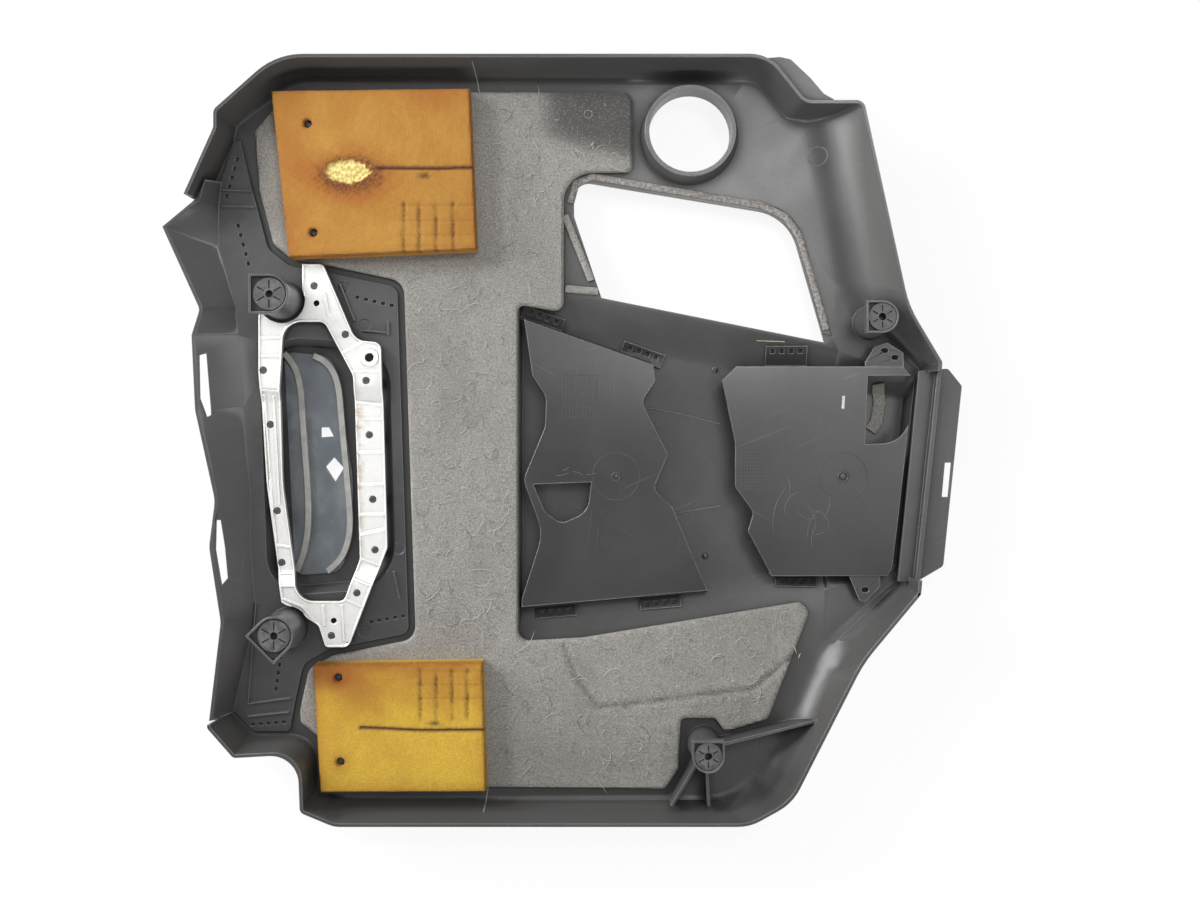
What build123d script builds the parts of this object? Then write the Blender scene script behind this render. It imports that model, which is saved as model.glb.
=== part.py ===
from build123d import *
from math import atan2, cos, degrees, hypot, radians, tan
import os

# Engine cover lying face down: +Z points to the engine side, -X to the front of the car, +Y to its left.
# Millimetres. The origin is the middle of the cover on the surface that it lies on.

# Overall size
LENGTH = 685.0
WIDTH = 651.0
RIM_HEIGHT = 55.0
WALL = 3.0
FIELD_LIFT = 14.0
SNOUT_REACH = 3.0

# Datum lines that the outlines are measured from
NOSE = -LENGTH / 2
TAIL = LENGTH / 2 - SNOUT_REACH
LEFT = WIDTH / 2
RIGHT = -WIDTH / 2
FIELD = FIELD_LIFT + WALL

BOWL_STEPS = 3
BOWL_POWER = 2.4
SIDE_SHARE = 0.48
ROUND_SIDES = 24
PIN_SIDES = 12

# Openings of the shell
FILLER_X = TAIL - 230.5
FILLER_Y = LEFT - 59.0
FILLER_RADIUS = 35.5
COLLAR_WALL = 4.0
COLLAR_FLARE = 3.5
COLLAR_HEIGHT = 18.0
LIP_WIDTH = 6.0
LIP_HEIGHT = 1.0
LOBE_LEVEL = 46.5

# Snout at the rear edge
SNOUT_HEIGHT = 34.0
SNOUT_RIB_WIDTH = 4.0
SNOUT_RIB_HEIGHT = 7.0

# Bezel
BEZEL_RIM = 42.0
BEZEL_WALL = 3.0
BEZEL_GAP = 0.5
BEZEL_FLOOR = FIELD + BEZEL_WALL
BEZEL_OPEN = 8.0
WELD_SLOT = (3.4, 2.6)
WELD_DEPTH = 2.2
MARK_RADIUS = 5.2
MARK_DEPTH = 0.8

# Mounting towers and their rubber ball sockets
TOWER_TOP = 66.0
TOWER_FOOT_RADIUS = 18.0
CUP_RADIUS = 16.5
CUP_WALL = 1.8
CUP_DEPTH = 4.0
GROMMET_RADIUS = 11.5
GROMMET_LENGTH = 13.0
GROMMET_FIT = 0.2
GROMMET_LIP = 2.0
GROMMET_LIP_THICKNESS = 2.5
SOCKET_RADIUS = 3.2
SLIT_COUNT = 6
SLIT_WIDTH = 1.2
SLIT_DEPTH = 2.0
SLIT_REACH = 11.3
REAR_TOWER_SIZE = 0.82
FRONT_LEFT = (NOSE + 98, 122)
FRONT_RIGHT = (NOSE + 102, -163)
REAR_LEFT = (TAIL - 73, 103)
REAR_RIGHT = (TAIL - 218, RIGHT + 62)

# Stiffener
FRAME_THICKNESS = 4.0
FRAME_LEG_LEVEL = 19.0
FRAME_LUG_LEVEL = 23.0
FRAME_CLEARANCE = 2.0
FRAME_RELIEF = 1.0
FRAME_RIM = 1.6
FRAME_RIB_WIDTH = 2.2
FRAME_BOSS = 8.0
STAKE_RADIUS = 2.7
STAKE_FIT = 0.3
STAKE_BOSS = 8.0
STAKE_HEAD = 0.6

# Soft layers
FELT_THICKNESS = 7.0
FELT_GAP = 6.0
FELT_TOP = FIELD + FELT_THICKNESS
FOAM_THICKNESS = 18.0
PEG_RADIUS = 2.5
PEG_HOLE = 3.6
PEG_SHORT = 4.0

# Badge
BADGE_THICKNESS = 2.5
STRIP_WIDTH = 5.0
STRIP_HEIGHT = 4.0

# Air guide and duct
SHEET = 2.5
SHEET_CROWN = 3.0
GUIDE_TOP = 22.0
DUCT_TOP = 30.0
CLIP_HOLES = 4
CLIP_PITCH = 8.0
CLIP_HOLE = 3.6
CLIP_WIDTH = 9.0
CLIP_THICKNESS = 2.5
CLIP_LENGTH = 36.0

# Outlines, each corner as (x, y, corner radius), clockwise seen from above
RIM = [
    (NOSE + 101, LEFT, 60),
    (TAIL - 166, LEFT, 34),
    (TAIL - 135, LEFT - 39, 12),
    (TAIL - 86, LEFT - 39, 8),
    (TAIL - 48, 113, 90),
    (TAIL - 20, 66, 6),
    (TAIL - 38, -130, 6),
    (TAIL - 86, RIGHT + 138, 120),
    (TAIL - 146, RIGHT + 20, 45),
    (TAIL - 182, RIGHT, 40),
    (NOSE + 150, RIGHT, 25),
    (NOSE + 121, RIGHT + 12, 6),
    (NOSE + 119, RIGHT + 61, 32),
    (NOSE + 65, RIGHT + 58, 5),
    (NOSE + 43, RIGHT + 83, 5),
    (NOSE + 19, LEFT - 127, 5),
    (NOSE + 48, LEFT - 62, 6),
    (NOSE + 48, LEFT - 47, 7),
]
FLOOR = [
    (NOSE + 106, LEFT - 12, 50),
    (TAIL - 174, LEFT - 14, 24),
    (TAIL - 149, LEFT - 44, 12),
    (TAIL - 136, LEFT - 50, 6),
    (TAIL - 100, 118, 70),
    (TAIL - 30, 60, 5),
    (TAIL - 48, -119, 5),
    (TAIL - 126, RIGHT + 140, 80),
    (TAIL - 180, RIGHT + 31, 40),
    (TAIL - 206, RIGHT + 17, 30),
    (NOSE + 154, RIGHT + 15, 18),
    (NOSE + 127, RIGHT + 21, 6),
    (NOSE + 125, RIGHT + 68, 22),
    (NOSE + 70, RIGHT + 70, 5),
    (NOSE + 55, RIGHT + 86, 5),
    (NOSE + 24, LEFT - 129, 5),
    (NOSE + 53, LEFT - 64, 6),
    (NOSE + 56, LEFT - 51, 7),
]
LOBE = [
    (TAIL - 168, LEFT - 2),
    (TAIL - 156, LEFT - 1),
    (TAIL - 147, LEFT - 3),
    (TAIL - 130, LEFT - 19),
    (TAIL - 119, LEFT - 32),
    (TAIL - 110, LEFT - 37),
    (TAIL - 128, LEFT - 46),
    (TAIL - 162, LEFT - 16),
]
CHANNEL_EDGE = [
    (TAIL - 379, 136, 0),
    (TAIL - 101, 79, 30),
    (TAIL - 33, 55, 5),
    (TAIL - 51, -112, 5),
    (TAIL - 110, -131, 30),
    (TAIL - 379, -173, 0),
]
CHANNEL_FLOOR = [
    (TAIL - 377.5, 98.7, 0),
    (TAIL - 108, 43, 30),
    (TAIL - 39, 40, 5),
    (TAIL - 55, -100, 5),
    (TAIL - 112, -108, 30),
    (TAIL - 377.5, -149.5, 0),
]
WINDOW = [
    (TAIL - 331, LEFT - 98, 15),
    (TAIL - 144, LEFT - 129, 42),
    (TAIL - 112, 86, 0),
    (TAIL - 307, 125, 0),
    (TAIL - 331, 196, 10),
]
SNOUT = [
    (TAIL - 34, 60, 0),
    (TAIL - 9, 62, 4),
    (TAIL + SNOUT_REACH, 47, 5),
    (TAIL - 13, -108, 5),
    (TAIL - 35, -121, 4),
    (TAIL - 52, -121, 0),
]
SNOUT_SLOT = [(TAIL - 11.7, -19), (TAIL - 5.8, -19), (TAIL - 8.6, -48.5), (TAIL - 14.4, -48.5)]
SNOUT_RIB = ((TAIL - 18, 60), (TAIL - 37, -119))
BEZEL_LAP = [
    (NOSE + 54, LEFT - 64, 0),
    (NOSE + 60, LEFT - 64, 0),
    (NOSE + 72, LEFT - 112, 40),
    (NOSE + 84, LEFT - 158, 14),
    (NOSE + 103, LEFT - 173, 20),
    (NOSE + 136, 147, 30),
    (NOSE + 197, 134, 9),
    (NOSE + 207, -168, 8),
    (NOSE + 138, -182, 30),
    (NOSE + 115, RIGHT + 131, 16),
    (NOSE + 108, RIGHT + 99, 30),
    (NOSE + 103, RIGHT + 72, 5),
    (NOSE + 71, RIGHT + 72, 5),
    (NOSE + 55, RIGHT + 89, 0),
]
BEZEL_FRONT_RIM = [
    (NOSE + 40, RIGHT + 86, 0),
    (NOSE + 50, -155, 30),
    (NOSE + 40, -91, 30),
    (NOSE + 45, -51, 30),
    (NOSE + 28, 26, 30),
    (NOSE + 25, 90, 8),
    (NOSE + 32, 112, 8),
    (NOSE, LEFT - 143, 0.8),
    (NOSE + 30, LEFT - 118, 0),
]
BEZEL_FRONT_FLOOR = [
    (NOSE + 51, RIGHT + 90, 0),
    (NOSE + 70, -150, 30),
    (NOSE + 66, -92, 30),
    (NOSE + 66, -45, 30),
    (NOSE + 60, 30, 30),
    (NOSE + 56, 92, 8),
    (NOSE + 53, 116, 8),
    (NOSE + 38, LEFT - 156, 3),
    (NOSE + 38, LEFT - 120, 0),
]
FRONT_CUT = [
    (NOSE - 10, LEFT - 118, 2),
    (NOSE + 52, LEFT - 118, 4),
    (NOSE + 72, LEFT - 168, 10),
    (NOSE + 102, LEFT - 184, 20),
    (NOSE + 194, 126, 8),
    (NOSE + 202, -160, 8),
    (NOSE + 134, -172, 20),
    (NOSE + 104, RIGHT + 137, 12),
    (NOSE + 96, RIGHT + 97, 10),
    (NOSE - 10, RIGHT + 97, 2),
]
WELL_EDGE = [
    (NOSE + 76, 92, 34),
    (NOSE + 190, 84, 40),
    (NOSE + 196, -128, 40),
    (NOSE + 84, -136, 34),
]
WELL_FLOOR = [
    (NOSE + 84, 86, 22),
    (NOSE + 176, 78, 32),
    (NOSE + 184, -122, 32),
    (NOSE + 92, -130, 22),
]
NOSE_SLOTS = [
    [(NOSE + 31, 73), (NOSE + 36, 75), (NOSE + 40, 22), (NOSE + 37, 20), (NOSE + 32, 36)],
    [(NOSE + 46, -68), (NOSE + 49, -68), (NOSE + 54, -118), (NOSE + 50, -124), (NOSE + 45, -93)],
]
FRAME_EDGE = [
    (NOSE + 116, 153, 0),
    (NOSE + 134, 153, 5),
    (NOSE + 162, 87, 14),
    (NOSE + 184, 85, 7),
    (NOSE + 189, -93, 10),
    (NOSE + 156, -179, 7),
    (NOSE + 136, -179, 4),
    (NOSE + 130, -160, 8),
    (NOSE + 98, -140, 0),
    (NOSE + 84, -38, 200),
    (NOSE + 78, 60, 100),
    (NOSE + 78, 112, 8),
    (NOSE + 116, 126, 0),
]
FRAME_OPENING = [
    (NOSE + 100, 103, 16),
    (NOSE + 135, 103, 9),
    (NOSE + 160, 56, 14),
    (NOSE + 165, -103, 12),
    (NOSE + 152, -139, 6),
    (NOSE + 112, -139, 16),
    (NOSE + 98, -38, 150),
    (NOSE + 96, 40, 60),
]
FRAME_STEPS = (46, 34, -112, -124)
STAKES = [
    (NOSE + 82, 61), (NOSE + 87, 14), (NOSE + 93, -61), (NOSE + 97, -106), (NOSE + 153, 92),
    (NOSE + 171, 52), (NOSE + 173, 5), (NOSE + 176, -51), (NOSE + 178, -95), (NOSE + 163, -132),
    (NOSE + 126, 134), (NOSE + 141, -169),
]
FRAME_HOLES = [(NOSE + 128, 119, 2.6), (NOSE + 174, 72, 3.9), (NOSE + 143, -156, 2.5)]
FRAME_RIBS = [
    ((NOSE + 80, 89), (NOSE + 101, 89)),
    ((NOSE + 80, 73), (NOSE + 100, 73)),
    ((NOSE + 80, 44), (NOSE + 98, 42)),
    ((NOSE + 82, 40), (NOSE + 87, -34)),
    ((NOSE + 87, -34), (NOSE + 92, -88)),
    ((NOSE + 90, 39), (NOSE + 95, -56)),
    ((NOSE + 86, -90), (NOSE + 106, -93)),
    ((NOSE + 93, -115), (NOSE + 113, -115)),
    ((NOSE + 95, -126), (NOSE + 116, -126)),
    ((NOSE + 150, 76), (NOSE + 169, 86)),
    ((NOSE + 158, 60), (NOSE + 186, 60)),
    ((NOSE + 158, 34), (NOSE + 188, 30)),
    ((NOSE + 158, 19), (NOSE + 188, 19)),
    ((NOSE + 159, -10), (NOSE + 189, -10)),
    ((NOSE + 161, -38), (NOSE + 190, -38)),
    ((NOSE + 162, -64), (NOSE + 191, -64)),
    ((NOSE + 163, -82), (NOSE + 191, -76)),
    ((NOSE + 162, -101), (NOSE + 186, -110)),
    ((NOSE + 157, -118), (NOSE + 179, -127)),
    ((NOSE + 150, -136), (NOSE + 172, -146)),
    ((NOSE + 135, 128), (NOSE + 139, 108)),
    ((NOSE + 134, -142), (NOSE + 135, -161)),
    ((NOSE + 150, -142), (NOSE + 152, -174)),
    ((NOSE + 99, -137), (NOSE + 116, -144)),
    ((NOSE + 116, -144), (NOSE + 126, -157)),
]
BADGE = [
    (NOSE + 94, 79, 8),
    (NOSE + 138, 75, 18),
    (NOSE + 157, -45, 160),
    (NOSE + 146, -116, 14),
    (NOSE + 104, -119, 8),
]
BADGE_HOLES = [
    [(NOSE + 126, 12), (NOSE + 134, 12), (NOSE + 138, 4), (NOSE + 126, 3)],
    [(NOSE + 130, -23), (NOSE + 138, -14), (NOSE + 147, -24), (NOSE + 139, -37)],
]
FRONT_STRIP = [
    (NOSE + 95, 77),
    (NOSE + 102, 69),
    (NOSE + 111, 27),
    (NOSE + 116, -45),
    (NOSE + 112, -100),
    (NOSE + 106, -115),
]
REAR_STRIP = [
    (NOSE + 121, 75),
    (NOSE + 134, 67),
    (NOSE + 145, 27),
    (NOSE + 152, -50),
    (NOSE + 147, -100),
    (NOSE + 133, -115),
]
FELT = [
    (NOSE + 73, LEFT - 56, 5),
    (NOSE + 102, LEFT - 22, 12),
    (TAIL - 280, LEFT - 22, 9),
    (TAIL - 280, LEFT - 91, 6),
    (TAIL - 340, LEFT - 92, 25),
    (TAIL - 340, 112, 8),
    (TAIL - 380, 119, 5),
    (TAIL - 380, -175, 10),
    (TAIL - 323, -172, 20),
    (TAIL - 122, -139, 9),
    (TAIL - 162, RIGHT + 83, 9),
    (TAIL - 199, RIGHT + 72, 4),
    (TAIL - 208, RIGHT + 84, 6),
    (TAIL - 238, RIGHT + 84, 4),
    (TAIL - 240, RIGHT + 40, 5),
    (TAIL - 252, RIGHT + 22, 4),
    (NOSE + 137, RIGHT + 26, 6),
    (NOSE + 133, RIGHT + 64, 10),
    (NOSE + 113, RIGHT + 80, 6),
]
FELT_FILLER_GAP = 6.0
FOAM_LEFT = [
    (NOSE + 93, LEFT - 27, 0),
    (NOSE + 262, LEFT - 25, 0),
    (NOSE + 268, LEFT - 162, 0),
    (NOSE + 108, LEFT - 169, 0),
]
FOAM_RIGHT = [
    (NOSE + 129, RIGHT + 134, 0),
    (NOSE + 273, RIGHT + 136, 0),
    (NOSE + 276, RIGHT + 26, 0),
    (NOSE + 135, RIGHT + 25, 0),
]
PEGS_LEFT = [(NOSE + 124, LEFT - 55), (NOSE + 129, LEFT - 148)]
PEGS_RIGHT = [(NOSE + 150, RIGHT + 123), (NOSE + 152, RIGHT + 51)]
GUIDE = [
    (TAIL - 376.5, 120, 0),
    (TAIL - 367, 56, 12),
    (TAIL - 355, 38, 16),
    (TAIL - 356, 12, 20),
    (TAIL - 375, -34, 14),
    (TAIL - 358, -80, 40),
    (TAIL - 376.5, -138, 4),
    (TAIL - 376.5, -160, 0),
    (TAIL - 208, -146, 0),
    (TAIL - 246, -56, 8),
    (TAIL - 262, -42, 8),
    (TAIL - 249, -12, 5),
    (TAIL - 272, 34, 10),
    (TAIL - 260, 52, 6),
    (TAIL - 265, 90, 0),
]
GUIDE_HOLE = [
    (TAIL - 366, -38, 0),
    (TAIL - 316, -36, 0),
    (TAIL - 319, -62, 18),
    (TAIL - 342, -72, 10),
    (TAIL - 356, -62, 12),
]
GUIDE_BACK = (TAIL - 384, 109, -145.5)
GUIDE_FRONT = (TAIL - 205, 46, -129.5)
GUIDE_DRAFT = 4.0
DUCT = [
    (TAIL - 203, 52, 0),
    (TAIL - 176, 78, 8),
    (TAIL - 58, 78, 0),
    (TAIL - 38, 54, 0),
    (TAIL - 56, -110, 0),
    (TAIL - 66, -126, 0),
    (TAIL - 155, -126, 0),
    (TAIL - 181, -78, 4),
    (TAIL - 176, -62, 8),
    (TAIL - 192, -40, 6),
    (TAIL - 192, -2, 20),
]
SCOOP = [
    (TAIL - 77, 56, 0),
    (TAIL - 30, 56, 0),
    (TAIL - 36, 24, 20),
    (TAIL - 52, -2, 24),
    (TAIL - 80, -3, 0),
]
DUCT_TABS = [
    [(TAIL - 79, 58), (TAIL - 79, 68), (TAIL - 71, 81), (TAIL - 60, 85), (TAIL - 46, 76), (TAIL - 46, 58)],
    [(TAIL - 95, -112), (TAIL - 84, -138), (TAIL - 79, -140), (TAIL - 66, -126), (TAIL - 66, -112)],
]
TAB_HOLES = [(TAIL - 62, 78), (TAIL - 53, 72), (TAIL - 79, -129)]
TAB_HOLE = (4.0, 6.0)
DUCT_SIDES = (64, -117)
DUCT_DRAFT = 3.0
TAB_LEVEL = 26.0
GUIDE_CLIPS = [(TAIL - 361, 1), (TAIL - 273, 1), (TAIL - 348, -1), (TAIL - 256, -1)]
DUCT_CLIPS = [(TAIL - 145, 1), (TAIL - 136, -1)]
DUCT_CLIP_REACH = (19.0, 11.0)
WELD_ROWS = [
    ((NOSE + 57, LEFT - 80), (NOSE + 48, LEFT - 112)),
    ((NOSE + 58, LEFT - 138), (NOSE + 67, LEFT - 171)),
    ((NOSE + 162, 125), (NOSE + 192, 118)),
    ((NOSE + 95, RIGHT + 137), (NOSE + 91, RIGHT + 109)),
    ((NOSE + 71, RIGHT + 78), (NOSE + 98, RIGHT + 80)),
    ((NOSE + 174, -158), (NOSE + 202, -153)),
]
WELD_COUNT = 5
EJECTOR_MARKS = [(NOSE + 150, 134), (NOSE + 168, 101), (NOSE + 198, -94), (NOSE + 168, -166)]
BEZEL_RIBS = [
    ((NOSE + 147, 137), (NOSE + 160, 104)),
    ((NOSE + 166, 96), (NOSE + 188, 94)),
    ((NOSE + 189, 104), (NOSE + 189, 92)),
    ((NOSE + 194, -114), (NOSE + 199, -137)),
    ((NOSE + 44, LEFT - 107), (NOSE + 70, LEFT - 108)),
    ((NOSE + 44, LEFT - 121), (NOSE + 73, LEFT - 122)),
    ((NOSE + 67, RIGHT + 96), (NOSE + 104, RIGHT + 101)),
    ((NOSE + 67, RIGHT + 85), (NOSE + 103, RIGHT + 89)),
    ((NOSE + 74, -141), (NOSE + 67, RIGHT + 96)),
]
BEZEL_RIB_WIDTH = 1.6
BEZEL_RIB_HEIGHT = 2.0
RIB_THICKNESS = 2.5
RIB_HEIGHT = 40.0
TOWER_RIBS = [(TAIL - 122, RIGHT + 86), (TAIL - 247, RIGHT + 13), (TAIL - 215, RIGHT + 13)]


def outline(corners):
    """Closed face through corners (x, y, radius): straight sides and tangent arcs, sharp at radius 0."""
    bends = []
    for i, (x, y, radius) in enumerate(corners):
        corner = Vector(x, y)
        if radius == 0:
            bends.append([corner])
            continue
        to_last = Vector(*corners[i - 1][:2]) - corner
        to_next = Vector(*corners[(i + 1) % len(corners)][:2]) - corner
        half_turn = radians(180 - to_last.get_angle(to_next)) / 2
        run = min(radius * tan(half_turn), SIDE_SHARE * min(to_last.length, to_next.length))
        bulge = run / tan(half_turn) * (1 / cos(half_turn) - 1)
        middle = corner + (to_last.normalized() + to_next.normalized()).normalized() * bulge
        bends.append([corner + to_last.normalized() * run, middle, corner + to_next.normalized() * run])
    edges = []
    for i, bend in enumerate(bends):
        if len(bend) > 1:
            edges.append(ThreePointArc(*bend))
        edges.append(Line(bend[-1], bends[(i + 1) % len(bends)][0]))
    return make_face(edges)


def polygon(points):
    """Closed face with sharp corners."""
    return make_face(Polyline(*points, close=True))


def inset(corners, depth):
    """Move each side of a clockwise outline inwards by depth, and fit the corner radii to it."""
    moved = []
    for i, (x, y, r) in enumerate(corners):
        x0, y0, _ = corners[i - 1]
        x2, y2, _ = corners[(i + 1) % len(corners)]
        before = hypot(x - x0, y - y0)
        after = hypot(x2 - x, y2 - y)
        ax, ay = (x - x0) / before, (y - y0) / before
        bx, by = (x2 - x) / after, (y2 - y) / after
        share = depth / (1 + ax * bx + ay * by)
        radius = r - depth if ax * by < ay * bx else r + depth
        radius = max(radius, r / 3) if r else 0
        moved.append((x + (ay + by) * share, y - (ax + bx) * share, radius))
    return moved


def between(low_corners, high_corners, share):
    """Outline part of the way from one outline to another."""
    pairs = zip(low_corners, high_corners)
    return [tuple(a + (b - a) * share for a, b in zip(low, high)) for low, high in pairs]


def slab(face, low, high):
    """Straight solid between two heights."""
    return extrude(Pos(0, 0, low) * face, high - low)


def drafted(sections):
    """Solid with sloping sides through outlines given as (height, corners)."""
    return loft([Pos(0, 0, height) * outline(corners) for height, corners in sections], ruled=True)


def tray(low_corners, low, high_corners, high):
    """Solid with bowl-shaped sides: the rise grows with a power of the share of the way out to the rim."""
    shares = [step / BOWL_STEPS for step in range(BOWL_STEPS + 1)]
    return drafted([
        (low + (high - low) * share ** BOWL_POWER, between(low_corners, high_corners, share))
        for share in shares
    ])


def cone(place, low, high, low_radius, high_radius):
    """Upright round solid, straight or tapered."""
    height = high - low
    middle = Pos(place[0], place[1], low + height / 2)
    if low_radius == high_radius:
        return middle * Cylinder(low_radius, height)
    return middle * Cone(low_radius, high_radius, height)


def rod(place, low, high, radius):
    """Upright straight round solid."""
    return cone(place, low, high, radius, radius)


def post(place, low, high, radius, sides):
    """Upright many-sided pin, or the hole for one."""
    return slab(Pos(*place) * RegularPolygon(radius, sides), low, high)


def bar(start, end, width):
    """Flat strip along a straight line."""
    dx, dy = end[0] - start[0], end[1] - start[1]
    middle = Pos((start[0] + end[0]) / 2, (start[1] + end[1]) / 2)
    return middle * Rot(0, 0, degrees(atan2(dy, dx))) * Rectangle(hypot(dx, dy), width)


def cup_shape(radius, flat_angle):
    """Round outline with one squared side."""
    square = Pos(radius / 2, 0) * Rectangle(radius, 2 * radius)
    return Rot(0, 0, flat_angle) * (RegularPolygon(radius, ROUND_SIDES) + square)


def tower(place, flat_angle, foot, size=1.0):
    """Tapered mounting tower with an open cup that holds a grommet."""
    at = Pos(*place)
    seat = TOWER_TOP - CUP_DEPTH
    cup_room = size * CUP_RADIUS - CUP_WALL
    foot_ring = Pos(0, 0, foot) * at * RegularPolygon(size * TOWER_FOOT_RADIUS, ROUND_SIDES)
    top_ring = Pos(0, 0, seat) * at * RegularPolygon(cup_room, ROUND_SIDES)
    body = loft([foot_ring, top_ring], ruled=True)
    body += slab(at * cup_shape(size * CUP_RADIUS, flat_angle), seat - CUP_DEPTH, TOWER_TOP)
    body -= slab(at * cup_shape(cup_room, flat_angle), seat, TOWER_TOP)
    hole = size * GROMMET_RADIUS + GROMMET_FIT
    return body - post(place, seat - GROMMET_LENGTH - GROMMET_FIT, seat, hole, ROUND_SIDES)


def grommet(place, size=1.0):
    """Rubber ball socket: plug, lip, blind socket and radial slits."""
    seat = TOWER_TOP - CUP_DEPTH
    top = seat + GROMMET_LIP_THICKNESS
    plug = post(place, seat - GROMMET_LENGTH, seat, size * GROMMET_RADIUS, ROUND_SIDES)
    plug += post(place, seat, top, size * GROMMET_RADIUS + GROMMET_LIP, ROUND_SIDES)
    plug -= rod(place, seat - GROMMET_LENGTH / 2, top, SOCKET_RADIUS)
    inner = SOCKET_RADIUS + SLIT_WIDTH
    outer = size * SLIT_REACH
    slit = Pos((outer + inner) / 2, 0) * Rectangle(outer - inner, SLIT_WIDTH)
    for i in range(SLIT_COUNT):
        plug -= slab(Pos(*place) * Rot(0, 0, (i + 0.5) * 360 / SLIT_COUNT) * slit, top - SLIT_DEPTH, top)
    return plug


def clip_flange(start, end, reach):
    """Plan of a welding flange on the left of a line, with a row of square holes near its edge."""
    run = hypot(end[0] - start[0], end[1] - start[1])
    plate = Pos(run / 2, reach / 2) * Rectangle(run, reach)
    for i in range(CLIP_HOLES):
        along = run / 2 + (i - (CLIP_HOLES - 1) / 2) * CLIP_PITCH
        plate -= Pos(along, reach - CLIP_WIDTH / 2) * Rectangle(CLIP_HOLE, CLIP_HOLE)
    return Pos(*start) * Rot(0, 0, degrees(atan2(end[1] - start[1], end[0] - start[0]))) * plate


def trough():
    """Hollow of the air trough, with its sloping sides."""
    return drafted([(WALL, CHANNEL_FLOOR), (FIELD, CHANNEL_EDGE)])


def air_space():
    """Everything above the trough and the field round it."""
    return trough() + slab(Rectangle(LENGTH, WIDTH), FIELD, RIM_HEIGHT)


def lying_flange(plan):
    """Welding flange that follows the slope it lies on."""
    space = air_space()
    layer = space - Pos(0, 0, CLIP_THICKNESS) * space
    return slab(plan, WALL, RIM_HEIGHT) & layer


def bezel_plan():
    """Corners of the bezel at its rim."""
    return BEZEL_LAP + BEZEL_FRONT_RIM


def make_main_shell():
    """Moulded cover: skirt and fields, trough, window, filler collar, snout and rear towers."""
    body = tray(inset(FLOOR, -WALL), FIELD_LIFT, RIM, RIM_HEIGHT)
    hollow = tray(FLOOR, FIELD, inset(RIM, WALL), RIM_HEIGHT)
    shell = body + slab(polygon(LOBE), LOBE_LEVEL, LOBE_LEVEL + WALL) - hollow

    snout_y = [y for _, y, _ in SNOUT]
    notch = Rectangle(2 * abs(SNOUT[-1][0] - TAIL), max(snout_y) - min(snout_y) - 2 * WALL)
    notch = Pos(TAIL, (max(snout_y) + min(snout_y)) / 2) * notch
    shell -= slab(notch, SNOUT_HEIGHT - WALL, RIM_HEIGHT)
    shell += slab(outline(SNOUT), SNOUT_HEIGHT - WALL, SNOUT_HEIGHT)
    shell -= slab(polygon(SNOUT_SLOT), SNOUT_HEIGHT - WALL, SNOUT_HEIGHT)
    shell += slab(bar(*SNOUT_RIB, SNOUT_RIB_WIDTH), SNOUT_HEIGHT, SNOUT_HEIGHT + SNOUT_RIB_HEIGHT)

    shell += drafted([(0, inset(CHANNEL_FLOOR, -WALL)), (FIELD_LIFT, inset(CHANNEL_EDGE, -WALL))])
    shell -= trough()

    shell += slab(Pos(LIP_WIDTH, LIP_WIDTH) * outline(WINDOW), FIELD, FIELD + LIP_HEIGHT)
    shell -= slab(outline(WINDOW), FIELD_LIFT, FIELD + LIP_HEIGHT)

    filler = (FILLER_X, FILLER_Y)
    collar_radius = FILLER_RADIUS + COLLAR_WALL
    collar = cone(filler, FIELD, FIELD + COLLAR_HEIGHT, collar_radius + COLLAR_FLARE, collar_radius)
    shell += collar
    shell -= rod(filler, FIELD_LIFT, FIELD + COLLAR_HEIGHT, FILLER_RADIUS)

    envelope = body + slab(outline(RIM), RIM_HEIGHT, TOWER_TOP)
    for place, angle in ((REAR_LEFT, 180), (REAR_RIGHT, 90)):
        shell += tower(place, angle, FIELD_LIFT, REAR_TOWER_SIZE) & envelope
    clear_of = REAR_TOWER_SIZE * GROMMET_RADIUS + WALL
    core = post(REAR_RIGHT, FIELD_LIFT, TOWER_TOP, clear_of, ROUND_SIDES)
    for end in TOWER_RIBS:
        rib = slab(bar(REAR_RIGHT, end, RIB_THICKNESS), FIELD_LIFT, RIB_HEIGHT)
        shell += (rib - core) & envelope

    for peg in PEGS_LEFT + PEGS_RIGHT:
        shell += post(peg, FIELD, FELT_TOP + FOAM_THICKNESS - PEG_SHORT, PEG_RADIUS, PIN_SIDES)

    shell -= slab(outline(inset(bezel_plan(), -BEZEL_GAP)), FIELD, TOWER_TOP)
    shell -= slab(outline(FRONT_CUT), 0, TOWER_TOP)
    return shell


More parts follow.
